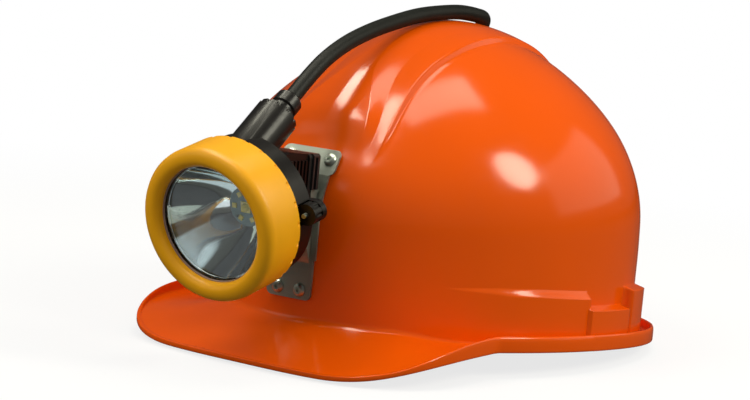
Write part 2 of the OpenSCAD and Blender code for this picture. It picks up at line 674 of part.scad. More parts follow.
// The hook's chain of faces, from the channel forward.
blade_y = strap_y + run_gap;
leg_y = strap_front - 0.5;
leg_t = 1.2;
plate_y0 = leg_y - leg_t;
back_t = 2.3;
block_y = plate_y0 - back_t;
block_front = lamp_y + 38;
hook_top = mouth_z + 16.7;
block_w = 20;
block_h = 39.3;
hook_w = channel_w - 2 * sheet_t - 2 * run_gap;
plate_screw_zs = [hook_top - 9, hook_top - 30];
screw_r = 1.3;
module plate_screw_place() {
    for (z = plate_screw_zs) translate([0, leg_y, z]) rotate([-90, 0, 0]) children();
}
knob_x = drum_r + 2.2;
knob_y = 2.7;
knob_z = taper_z + 2;
knob_r = knob_d / 2;
pivot_r = 1.9;
lug_l = 3.2;
module knob_place(z) {
    lamp_place() translate([knob_x, knob_y, z]) children();
}
module lamp_housing() {
    color(black) difference() {
        union() {
            lamp_place() rotate_extrude($fn = 96) polygon([[0, back_z], [drum_r - 9.4, back_z],
                [drum_r, taper_z],
                [drum_r, drum_z], [thread_r - 0.25, drum_z], [thread_r - 0.25, cone_z], [0, cone_z]]);
            boss_place() translate([0, 0, -boss_l]) cylinder(r = boss_r, h = boss_l);
            // Block that carries the hook, with grip ribs on both sides
            side_view(block_w) polygon([[block_y, hook_top], [block_y, hook_top - block_h],
                [block_front + 7, lamp_z - 12], [block_front, lamp_z], [block_front, hook_top - 2],
                [block_front + 8, hook_top + 1]]);
            for (i = [0:4]) side_view(block_w + 1.6)
                translate([block_y - 2.5 - 2.8 * i, hook_top - 17]) square([1.3, 14]);
            knob_place(knob_z - run_gap - lug_l) cylinder(r = knob_r, h = lug_l);
            lamp_place() translate([drum_r - 12, knob_y - knob_r, knob_z - run_gap - lug_l])
                cube([knob_x - drum_r + 12, 2 * knob_r, lug_l]);
        }
        lamp_place() rotate_extrude($fn = 96) polygon([[0, back_z + floor_t],
            [drum_r - 9.4 - floor_t, back_z + floor_t],
            [thread_r - housing_wall, taper_z], [thread_r - housing_wall, cone_z + 1], [0, cone_z + 1]]);
        boss_place() translate([0, 0, -boss_l - 8]) cylinder(r = cable_r + 0.4, h = boss_l + 9);
        boss_place() translate([0, 0, -seal_l]) cylinder(r = seal_r, h = seal_l + 1);
        // Pocket for the switch knob in the drum's flank, and the knob's pivot
        knob_place(knob_z - run_gap) cylinder(r = knob_r + 0.6, h = 20);
        knob_place(knob_z - 12) cylinder(r = pivot_r + 0.06, h = 20);
        plate_screw_place() translate([0, 0, -12]) cylinder(r = screw_r + seat, h = 13);
    }
    // Posts that carry the driver board
    color(black) lamp_place() for (w = [90, 210, 330]) rotate([0, 0, w + 180]) translate([driver_r - 3, 0,
        back_z + floor_t - eps])
        cylinder(r = 1.8, h = driver_z - back_z - floor_t + eps);
}
module back_plate() {
    color(black) difference() {
        translate([0, plate_y0, hook_top - (block_h + 0.5) / 2]) rotate([90, 0, 0]) linear_extrude(back_t)
            round_plate(block_w + 2, block_h + 0.5, 2);
        plate_screw_place() translate([0, 0, -12]) cylinder(r = screw_r + seat, h = 13);
    }
}
// Steel hook: a leg on the back plate, a web over the top, and the blade that drops behind the channel.
// The blade's edge: shoulders that sit on the channel's mouth, then a tongue that narrows downward.
shoulder_w = channel_w + 3;
hook_edge = [[shoulder_w / 2 - 1, hook_top], [shoulder_w / 2, hook_top - 1],
    [shoulder_w / 2, mouth_z + seat],
    [hook_w / 2, mouth_z + seat], [hook_w / 2, mouth_z - 14], [hook_w / 2 - 2, channel_z - 5]];
function facet_at(y) = mix(channel_z, facet_z, (y - strap_y) / (plate_y(foot_z, 0) - strap_y));
module hook_plate() {
    color("#2a2a2c") difference() {
        intersection() {
            side_view(shoulder_w + 2) polygon([[plate_y0, hook_top], [blade_y + blade_t, hook_top],
                [blade_y + blade_t, facet_at(blade_y + blade_t) + 1], [blade_y, facet_at(blade_y) + 1],
                [blade_y, hook_top - blade_t], [leg_y, hook_top - blade_t], [leg_y, hook_top - 36],
                    [plate_y0, hook_top - 36]]);
            translate([0, strap_y + 10, 0]) rotate([90, 0, 0]) linear_extrude(20)
                polygon([for (side = [-1, 1]) for (q = side < 0 ? hook_edge : reversed(hook_edge)) [side
                    * q[0], q[1]]]);
        }
        plate_screw_place() translate([0, 0, -leg_t - 1]) cylinder(r = screw_r + seat, h = leg_t + 1 + eps);
        plate_screw_place() translate([0, 0, -leg_t]) cylinder(r1 = screw_r + seat, r2 = 2.5,
            h = leg_t + eps);
    }
}
module plate_screws() {
    color(steel) plate_screw_place() rotate_extrude() polygon([[0, 0], [2.4, 0], [screw_r, -leg_t],
        [screw_r, -10], [0, -11]]);
}
module gland_ring() {
    color(black) boss_place() difference() {
        linear_extrude(2.4) ring_2d(5.8, boss_r);
        for (w = [0:30:330]) rotate([0, 0, w]) translate([boss_r + 0.4, 0, 0.8]) cylinder(r = 1.1, h = 2,
            $fn = 16);
    }
}
flange_t = 2;
module boss_seal() {
    color("#4a4a4c") boss_place() translate([0, 0, -seal_l]) linear_extrude(seal_l - flange_t)
        ring_2d(cable_r + cable_gap, seal_r - cable_gap);
}
relief_l = 14.4;
module strain_relief() {
    color(black) boss_place() rotate_extrude() polygon([[cable_r + cable_gap, -flange_t],
        [seal_r - cable_gap, -flange_t],
        [seal_r - cable_gap, 0], [5.6, 0], [5.5, 7.4], [6.35, 8.2], [6.35, relief_l - 0.7], [5.8, relief_l],
        [cable_r + cable_gap, relief_l]]);
}

// ---- switch ----
module switch_knob() {
    color(black) {
        knob_place(knob_z) difference() {
            cylinder(r = knob_r, h = knob_l);
            for (w = [0:45:315]) rotate([0, 0, w]) translate([knob_r + 0.7, 0, -1]) cylinder(r = 1.3,
                h = knob_l - 0.6, $fn = 16);
            translate([0, 0, knob_l - 3]) cylinder(r = pin_r + 0.02, h = 4);
        }
        knob_place(knob_z - run_gap - lug_l - 1.5) cylinder(r = pivot_r, h = lug_l + run_gap + 1.5 + eps);
    }
}
pin_r = 1.1;
module contact_pin() {
    color(steel) knob_place(knob_z + knob_l - 3) cylinder(r = pin_r, h = 5.2);
}
module knob_clip() {
    color(steel) knob_place(knob_z - run_gap - lug_l - 1.2) linear_extrude(0.8) ring_2d(pivot_r + 0.01,
        pivot_r + 1.5);
}

// ---- cable: from the lamp over the crest, down the nape, then a coil and the tail to the pack ----
// The routes below are laid for this length of shell. On another they stretch over the dome with it, and
// what lies behind the dome moves with its rear.
route_front = 125;
route_rear = 114;
function laid(p) =
    let (b = p[1] < 0 ? route_front : route_rear)
    [p[0], p[1] + sgn(p[1]) * (dome_b(p[1]) - b) * min(1, abs(p[1]) / b), p[2]];
function laid_all(route) = [for (p = route) laid(p)];
function lamp_world(y, z) = [0, lamp_y - y * sin(lamp_pitch) - z * cos(lamp_pitch),
    lamp_z + y * cos(lamp_pitch) - z * sin(lamp_pitch)];
function boss_point(w) = lamp_world(boss_at[0] + w * sin(boss_up), boss_at[1] - w * cos(boss_up));
// A tube of n sides along the points p[first] to p[last]; the sides are laid out from the direction ref.
function tangent(p, i) = unit(p[min(i + 1, len(p) - 1)] - p[max(i - 1, 0)]);
function ring_at(c, t, ref, r, n) =
    let (a = unit(cross(t, ref)), b = cross(t, a))
    [for (k = [0:n - 1]) c + r * (a * cos(360 * k / n) + b * sin(360 * k / n))];
module tube(p, ref, r, n, first, last) {
    m = last - first + 1;
    points = [for (i = [first:last]) for (q = ring_at(p[i], tangent(p, i), ref, r, n)) q];
    polyhedron(points = points, faces = concat([[for (k = [0:n - 1]) k]],
        [[for (k = [n - 1:-1:0]) (m - 1) * n + k]],
        [for (i = [0:m - 2]) for (k = [0:n - 1]) let (a = i * n + k, b = i * n + (k + 1) % n)
            for (f = [[a, b + n, b], [a, a + n, b + n]]) f]));
}
cord_sides = 10;
front_route = concat([for (w = [-22, -8, 6, relief_l + 1]) boss_point(w)],
    laid_all([[0, -124, 132.6], [0, -112, 140.4], [0, -96, 147.6], [0, -77, 153.4], [0, -56, 158],
        [0, -36, 161.4], [0, -16, 163.2]]));
crown_route = laid_all([[0, -16, 163.2], [0, 4, 163.9], [0, 21, 162.6], [-4, 35, 160.6], [-12, 47.5, 155.4],
    [-21, 58.5, 148],
    [-29, 68.5, 140.2], [-35, 78, 131.9], [-37, 88, 122.4], [-36, 96, 113.6], [-32, 104, 103.6],
        [-25.6, 110.2, 94],
    [-18, 114.8, 85], [-11.6, 117.8, 78], [-6.6, 119.8, 71.8], [-3, 120.9, 66], [-0.9, 121.5, 60],
        [0, 121.7, 53.6],
    [0, 121.7, 44.5], [0, 122.2, 38], [0, 123.8, 32], [0, 126.6, 26.4], [0, 130.6, 20.8], [0, 135.2, 16],
        [0.2, 140, 12],
    [0.6, 145, 8.6], [1.2, 150.4, 6], [2, 156, 4.4], [2.9, 162.4, 3.8], [3.7, 171.4, 3.8],
        [4, 180.4, 3.8]]);
coil_c = laid([-44, 188, 0]);
coil_r = 48;
coil_turns = 3.25;
coil_pitch = 8.4;
coil_lift = 8.1;
coil_rings = 24;
coil_sides = 6;
function coil_point(w) =
    let (half = coil_turns * 180, in = coil_pitch * min(w, 2 * half - w) / 360,
         up = smooth01((w - half + 90) / 180), r = coil_r - in)
    [coil_c[0] + r * cos(w), coil_c[1] + r * sin(w), cable_r + coil_lift * up];
coil_end = coil_turns * 360;
coil_first = coil_point(0) - [0, cable_d, 0];
coil_last = coil_point(coil_end) - [cable_d, 0, 0];
coil_route = concat([coil_first], [for (i = [0:coil_turns * coil_rings]) coil_point(i * 360 / coil_rings)],
    [coil_last]);
tail_y = 236;
tail_route = laid_all([[-51.6, tail_y, 11.9], [-57, tail_y, 11.9], [-65, tail_y, 13.9], [-74, tail_y, 17],
    [-82, tail_y, 18.7], [-90, tail_y, 19],
    [-104, tail_y, 19], [-116, tail_y, 19]]);
front_last = len(front_route) - 1;
module cable_front() {
    color(black) tube(concat(front_route, [crown_route[1]]), [1, 0, 0], cable_r, cord_sides, 0, front_last);
}
module cable_crown() {
    color(black) tube(concat([front_route[front_last - 1]], crown_route), [1, 0, 0], cable_r, cord_sides,
        1, len(crown_route));
}
module cable_coil() {
    color(black) tube(coil_route, [0, 0, 1], cable_r, coil_sides, 0, len(coil_route) - 1);
}
module cable_tail() {
    color(black) tube(tail_route, [0, 0, 1], cable_r, cord_sides, 0, len(tail_route) - 1);
}
function run_l(p) = let (d = [for (i = [1:len(p) - 1]) norm(p[i] - p[i - 1])]) d * [for (i = d) 1];
coil_gaps = [for (i = [0:len(coil_route) - 1]) for (j = [i + coil_rings / 2:1:len(coil_route) - 1])
    norm(coil_route[i] - coil_route[j])];
echo(cable_length = run_l(front_route) + run_l(crown_route) + run_l(coil_route) + run_l(tail_route),
    coil_gap = min(coil_gaps) - cable_d);

// ---- battery pack: it lies on its front, with the belt loops up and the cover towards the coil ----
cell_gap = 0.4;
cell_pitch = cell_d + cell_gap;
cells_across = 4;
holder_room = 0.3;
pack_w = cells_across * cell_pitch - cell_gap + 2 * (holder_side + holder_room + pack_wall);
pack_x = -100;
gland_y = pack_w / 2 - 19;
pack_y = laid([0, tail_y, 0])[1] - gland_y;
cover_gap = 1.2;
case_l = pack_l - cover_l - cover_gap;
pack_z = pack_t / 2;
module pack_place(x) {
    translate([pack_x - x, pack_y, pack_z]) rotate([90, 0, -90]) children();
}
module pack_shell(l, floor_at) {
    difference() {
        linear_extrude(l) round_plate(pack_w, pack_t, 8);
        translate([0, 0, floor_at > 0 ? floor_at : -eps]) linear_extrude(floor_at > 0 ? l : l - pack_wall
            + eps)
            round_plate(pack_w - 2 * pack_wall, pack_t - 2 * pack_wall, 8 - pack_wall);
    }
}
post_r = 3.2;
post_in = 6.4;
post_l = 14;
cover_screw_r = 1.3;
module corner_places() {
    for (x = [-1, 1]) for (y = [-1, 1]) translate([x * (pack_w / 2 - post_in), y * (pack_t / 2 - post_in),
        0]) children();
}
gland_r = 5.5;
module battery_cover() {
    color(black) pack_place(0) difference() {
        union() {
            pack_shell(cover_l, pack_wall);
            intersection() {
                corner_places() cylinder(r = post_r + 2.4, h = cover_l);
                linear_extrude(cover_l) round_plate(pack_w - pack_wall, pack_t - pack_wall,
                    8 - pack_wall / 2);
            }
        }
        corner_places() translate([0, 0, -1]) cylinder(r = cover_screw_r + seat, h = cover_l + 2);
        corner_places() translate([0, 0, -eps]) cylinder(r = 2.6, h = 1.6);
        translate([-gland_y, 0, -1]) cylinder(r = gland_r + seat, h = pack_wall + 2);
    }
}
module cover_gasket() {
    color("#3a3a3c") pack_place(cover_l) linear_extrude(cover_gap) difference() {
        round_plate(pack_w - 0.6, pack_t - 0.6, 7.7);
        round_plate(pack_w - 2 * pack_wall, pack_t - 2 * pack_wall, 8 - pack_wall);
        corner_places() circle(r = cover_screw_r + seat);
    }
}
case_at = cover_l + cover_gap;
case_in = case_l - pack_wall;
loop_mid = case_at + case_l / 2 + 1;
loop_in = belt_w / 2 + 1;
loop_foot = 13;
loop_gap = 4.6;
loop_t = 1.6;
loop_x = 22;
loop_screw_r = 1.5;
module loop_screw_places(x0) {
    pack_place(x0) for (x = [-loop_x, loop_x]) for (end = [-1, 1])
        translate([x, pack_t / 2 + loop_t, end * (loop_in + 8)]) rotate([-90, 0, 0]) children();
}
module battery_case() {
    color(black) difference() {
        pack_place(case_at) difference() {
            union() {
                pack_shell(case_l, 0);
                intersection() {
                    corner_places() cylinder(r = post_r + 2.4, h = post_l);
                    linear_extrude(post_l) round_plate(pack_w - pack_wall, pack_t - pack_wall,
                        8 - pack_wall / 2);
                }
            }
            corner_places() translate([0, 0, -1]) cylinder(r = cover_screw_r + seat, h = post_l);
        }
        loop_screw_places(loop_mid) translate([0, 0, -loop_t - 6]) cylinder(r = loop_screw_r + seat, h = 7);
    }
}
cells_z = case_in - 1.5 - cell_l;
holder_w = pack_w - 2 * (pack_wall + holder_room);
holder_h = pack_t - 2 * pack_wall - 0.1;
module cell_places() {
    for (i = [0.5 - cells_across / 2:cells_across / 2 - 0.5]) translate([i * cell_pitch, 0, 0]) children();
}
module battery_cells() {
    color("#2c6fae") pack_place(case_at + cells_z) cell_places() {
        cylinder(d = cell_d - 2 * seat, h = cell_l);
    }
}
module cell_holders() {
    color("#e8e4d8") pack_place(case_at) difference() {
        for (z = [cells_z - 1.5, case_in - 5]) translate([0, 0, z]) linear_extrude(5)
            round_plate(holder_w, holder_h, 5);
        translate([0, 0, cells_z]) cell_places() cylinder(d = cell_d, h = cell_l);
    }
}
guard_l = 60;
guard_w = 22;
module protection_board() {
    color("#2f6b3f") pack_place(case_at + cells_z - 1.5 - 1.6) linear_extrude(1.6) round_plate(guard_l,
        guard_w, 1.5);
}
module cover_screws() {
    color(steel) pack_place(0) corner_places() difference() {
        rotate_extrude() polygon([[0, 0.2], [2.5, 0.2], [2.5, 1.6 - eps], [cover_screw_r, 1.6 - eps],
            [cover_screw_r, cover_l + post_l - 4], [0, cover_l + post_l - 3]]);
        translate([0, 0, -1]) cylinder(r = 1.1, h = 2, $fn = 6);
    }
}
gland_l = 12;
module battery_gland() {
    color(black) pack_place(0) translate([-gland_y, 0, 0]) difference() {
        union() {
            translate([0, 0, -gland_l]) cylinder(r1 = 5.4, r2 = 6.6, h = 5);
            translate([0, 0, -gland_l + 5]) cylinder(r = 8.4, h = gland_l - 5, $fn = 6);
            cylinder(r = gland_r, h = pack_wall + 5);
        }
        translate([0, 0, -gland_l - 1]) cylinder(r = cable_r + cable_gap, h = gland_l + pack_wall + 7);
    }
}
module gland_nut() {
    color(black) pack_place(pack_wall) translate([-gland_y, 0, 0]) difference() {
        cylinder(r = 8.4, h = 3.6, $fn = 6);
        translate([0, 0, -1]) cylinder(r = gland_r + seat, h = 6);
    }
}
module belt_loops() {
    l = loop_in + loop_foot;
    h = loop_gap + loop_t;
    b = loop_in + loop_t;
    color(steel) difference() {
        pack_place(loop_mid) for (x = [-loop_x, loop_x]) translate([x, pack_t / 2, 0]) side_view(20)
            polygon([[0, -l], [loop_t, -l], [loop_t, -b], [h, -b], [h, b], [loop_t, b], [loop_t, l], [0, l],
                [0, loop_in], [loop_gap, loop_in], [loop_gap, -loop_in], [0, -loop_in]]);
        loop_screw_places(loop_mid) translate([0, 0, -loop_t - 1]) cylinder(r = loop_screw_r + seat,
            h = loop_t + 2);
    }
}
module loop_screws() {
    color(steel) loop_screw_places(loop_mid) rotate_extrude() polygon([[0, 1.4], [1.6, 1.4], [2.7, 0.8],
        [2.9, 0],
        [loop_screw_r, 0], [loop_screw_r, -loop_t - pack_wall + 0.2], [0, -loop_t - pack_wall + 0.2]]);
}

helmet_shell();
headband();
brow_pad();
crown_strap_a();
crown_strap_b();
crown_pad();
suspension_keys();
ratchet_case();
ratchet_knob();
lamp_bracket();
bracket_rivets();
cable_clip();
clip_rivets();
bezel();
lens_gasket();
lens();
reflector();
led_board();
main_led();
side_leds();
led_holder();
driver_board();
lamp_housing();
back_plate();
hook_plate();
plate_screws();
gland_ring();
boss_seal();
strain_relief();
switch_knob();
contact_pin();
knob_clip();
cable_front();
cable_crown();
cable_coil();
cable_tail();
battery_case();
battery_cover();
cover_gasket();
battery_cells();
cell_holders();
protection_board();
cover_screws();
battery_gland();
gland_nut();
belt_loops();
loop_screws();
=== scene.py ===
"""Visual model of a miner's cap lamp: the safety helmet, the lamp head in its bracket, the cable over the
crown and the belt battery pack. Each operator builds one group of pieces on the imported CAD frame."""

import math

import bmesh
import bpy
import numpy as np
from bpy.props import FloatProperty, FloatVectorProperty, IntProperty, PointerProperty
from mathutils import Matrix, Vector


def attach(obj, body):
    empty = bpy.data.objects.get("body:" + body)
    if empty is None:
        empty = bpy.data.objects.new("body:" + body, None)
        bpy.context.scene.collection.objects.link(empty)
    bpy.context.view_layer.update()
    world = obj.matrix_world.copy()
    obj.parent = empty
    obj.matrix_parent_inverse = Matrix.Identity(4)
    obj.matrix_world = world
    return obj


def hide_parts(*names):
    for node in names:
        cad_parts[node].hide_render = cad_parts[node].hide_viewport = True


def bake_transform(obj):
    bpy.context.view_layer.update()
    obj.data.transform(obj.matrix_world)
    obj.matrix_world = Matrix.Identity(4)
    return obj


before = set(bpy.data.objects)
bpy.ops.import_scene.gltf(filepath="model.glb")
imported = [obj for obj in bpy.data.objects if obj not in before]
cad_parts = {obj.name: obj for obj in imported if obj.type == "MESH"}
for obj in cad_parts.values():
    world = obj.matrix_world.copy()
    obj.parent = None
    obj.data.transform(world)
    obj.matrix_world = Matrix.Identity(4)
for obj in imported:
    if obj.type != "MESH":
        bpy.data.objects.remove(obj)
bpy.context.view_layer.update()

bl_info = {
    "name": "Miner's cap lamp",
    "version": (1, 0, 0),
    "blender": (4, 5, 0),
    "location": "View3D > Sidebar > Cap lamp",
    "description": "Builds the helmet, cable, harness, finishes and studio of a miner's cap lamp",
    "category": "Object",
}

MM = 0.001


# ---------------------------------------------------------------- sizes and colours

def length(name, description, default, low, high):
    """A length property in metres."""
    return FloatProperty(name=name, description=description, default=default, min=low, max=high,
                         unit="LENGTH", precision=4)


def colour(name, description, default):
    """A linear colour property."""
    return FloatVectorProperty(name=name, description=description, default=default, size=3,
                               min=0.0, max=1.0, subtype="COLOR")


def brightness(name, description, default, high):
    """A brightness property, where 1 is white."""
    return FloatProperty(name=name, description=description, default=default, min=0.0, max=high)


class ShellSizes(bpy.types.PropertyGroup):
    half_width: length("Half width", "Half width of the dome at its wall", 0.1, 0.09, 0.11)
    front: length("Front", "Reach of the dome forward of the origin", 0.125, 0.115, 0.135)
    rear: length("Rear", "Reach of the dome behind the origin", 0.114, 0.1, 0.125)
    wall_height: length("Wall height", "Height at which the wall turns into the crown", 0.064, 0.055, 0.07)
    ring_height: length("Ring height", "Height of the dome's lower edge", 0.044, 0.04, 0.05)
    crown_height: length("Crown height", "Height of the plain dome", 0.157, 0.15, 0.165)
    thickness: length("Thickness", "Wall thickness of the shell", 0.0026, 0.002, 0.004)
    step_rise: length("Step rise", "Height of the crest's broad step", 0.0022, 0.001, 0.003)
    ridge_rise: length("Ridge rise", "Height of the ridge over its step at the brow", 0.0028, 0.001, 0.004)
    roof_slope: FloatProperty(name="Roof slope", default=3.6, min=0.0, max=8.0,
                              description="Slope of the ridge's top on each side, in degrees")
    rear_quarter: length("Rear quarter", "Fullness of the wall behind the ears", 0.0024, 0.0, 0.004)
    gutter: length("Gutter", "Width of the rain gutter", 0.0085, 0.006, 0.012)
    lip_height: length("Lip height", "Height of the gutter's lip over its underside", 0.0078, 0.004, 0.009)
    brim_thickness: length("Brim thickness", "Thickness of the brim", 0.0028, 0.002, 0.004)
    peak_reach: length("Peak reach", "Reach of the peak past the dome", 0.038, 0.03, 0.05)
    peak_root: length("Peak root", "Height of the peak's root", 0.018, 0.015, 0.03)
    peak_thickness: length("Peak thickness", "Thickness of the peak's edge", 0.0018, 0.0014, 0.004)
    side_rise: length("Side rise", "Rise of the brim beside the ears", 0.012, 0.0, 0.02)
    ledge_depth: length("Ledge depth", "Depth of the temple ledge at its rear end", 0.0036, 0.0, 0.005)
    boss_depth: length("Boss depth", "Depth of the accessory bosses", 0.0055, 0.0, 0.007)
    half_columns: IntProperty(name="Half columns", description="Columns on each half beside the crest",
                              default=52, min=20, max=120)
    rows: IntProperty(name="Rows", description="Rows from brow to nape", default=132, min=40, max=240)


class CableSizes(bpy.types.PropertyGroup):
    diameter: length("Diameter", "Diameter of the cable", 0.0076, 0.006, 0.009)
    coil_radius: length("Coil radius", "Radius of the coil's outer loop", 0.048, 0.04, 0.06)
    coil_step: length("Coil step", "Distance from one loop to the next", 0.0084, 0.008, 0.012)
    coil_lift: length("Coil lift", "Rise from the lower loops to the upper ones", 0.0081, 0.0077, 0.012)
    coil_turns: FloatProperty(name="Coil turns", description="Number of turns in the coil", default=3.25,
                              min=1.25, max=6.25)
    sides: IntProperty(name="Sides", description="Sides of the cable's section", default=24, min=8, max=48)


class SoftSizes(bpy.types.PropertyGroup):
    strap_width: length("Strap width", "Width of the crown straps", 0.02, 0.015, 0.03)
    strap_thickness: length("Strap thickness", "Thickness of the crown straps", 0.0012, 0.0008, 0.002)
    strap_top: length("Strap top", "Height of the upper strap over the floor", 0.118, 0.1, 0.125)
    weave_pitch: length("Weave pitch", "Distance between the webbing's ribs", 0.0011, 0.0005, 0.003)
    pad_radius: length("Pad radius", "Radius of the crown pad", 0.02, 0.01, 0.03)
    pad_height: length("Pad height", "Thickness of the crown pad", 0.004, 0.002, 0.008)
    brow_thickness: length("Brow thickness", "Thickness of the brow pad", 0.003, 0.002, 0.006)


class Colours(bpy.types.PropertyGroup):
    shell: colour("Shell", "Glossy orange of the helmet", (0.86, 0.1, 0.0008))
    bezel: colour("Bezel", "Satin amber of the bezel", (0.96, 0.43, 0.004))
    black: colour("Black", "Black moulded plastic", (0.007, 0.0055, 0.005))
    sheath: colour("Sheath", "Sheath of the cable", (0.008, 0.009, 0.007))
    steel: colour("Steel", "Zinc-plated steel", (0.48, 0.52, 0.47))
    webbing: colour("Webbing", "Undyed webbing and nylon", (0.60, 0.56, 0.46))
    foam: colour("Foam", "Dark foam and leathercloth", (0.03, 0.03, 0.032))


class StudioSizes(bpy.types.PropertyGroup):
    focal: FloatProperty(name="Focal length", description="Focal length on a 36 mm sensor, in mm",
                         default=108.58, min=20.0, max=300.0)
    side: brightness("Side lamp", "Brightness of the round lamp beside the helmet", 14.0, 60.0)
    strips: brightness("Strips", "Brightness of the two strips that show in gloss", 15.0, 60.0)
    front: brightness("Front lamp", "Brightness of the soft lamp before the helmet", 5.0, 60.0)
    front_wall: brightness("Front wall", "Brightness of the panel before the helmet", 0.7, 10.0)
    top: brightness("Top panel", "Brightness of the panel over the helmet", 4.4, 30.0)
    wall: brightness("Side wall", "Brightness of the wide wall behind the side lamp", 0.7, 10.0)
    fill: brightness("Fill", "Strength of the surrounding light", 0.52, 3.0)


# ---------------------------------------------------------------- small helpers

SAME_POINT = 2e-6
NO_LENGTH = 1e-6
TINY = 1e-9


def clamp01(v):
    return max(0.0, min(1.0, v))


def smooth01(v):
    """0 below 0, 1 above 1, and an even curve between them."""
    c = clamp01(v)
    return c * c * (3 - 2 * c)


def soften(v):
    """A straight slope from 0 to 1 with slightly eased ends."""
    return 0.6 * clamp01(v) + 0.4 * smooth01(v)


def mix(a, b, f):
    return a + (b - a) * f


def unit(v):
    return v / np.linalg.norm(v)


def tube_faces(rings, sides):
    """Faces between neighbouring rings of points, each ring with the same number of sides."""
    faces = []
    for i in range(0, (rings - 1) * sides, sides):
        for k in range(sides):
            m = (k + 1) % sides
            faces.append([i + k, i + m, i + sides + m, i + sides + k])
    return faces


def end_faces(rings, sides):
    """The two faces that close a tube."""
    return [list(range(sides))[::-1], [(rings - 1) * sides + k for k in range(sides)]]


def new_object(name, points, faces, smooth=True):
    """A mesh object in the scene's collection from points and faces, with its faces turned outward."""
    mesh = bpy.data.meshes.new(name)
    mesh.from_pydata([tuple(p) for p in points], [], faces)
    form = bmesh.new()
    form.from_mesh(mesh)
    bmesh.ops.remove_doubles(form, verts=form.verts, dist=SAME_POINT)
    bmesh.ops.dissolve_degenerate(form, edges=form.edges, dist=NO_LENGTH)
    bmesh.ops.recalc_face_normals(form, faces=form.faces)
    form.to_mesh(mesh)
    form.free()
    if smooth:
        mesh.shade_smooth()
    obj = bpy.data.objects.new(name, mesh)
    bpy.context.scene.collection.objects.link(obj)
    return obj


def finish(obj, material):
    """Gives obj one material."""
    obj.data.materials.clear()
    obj.data.materials.append(material)


# ---------------------------------------------------------------- helmet shell

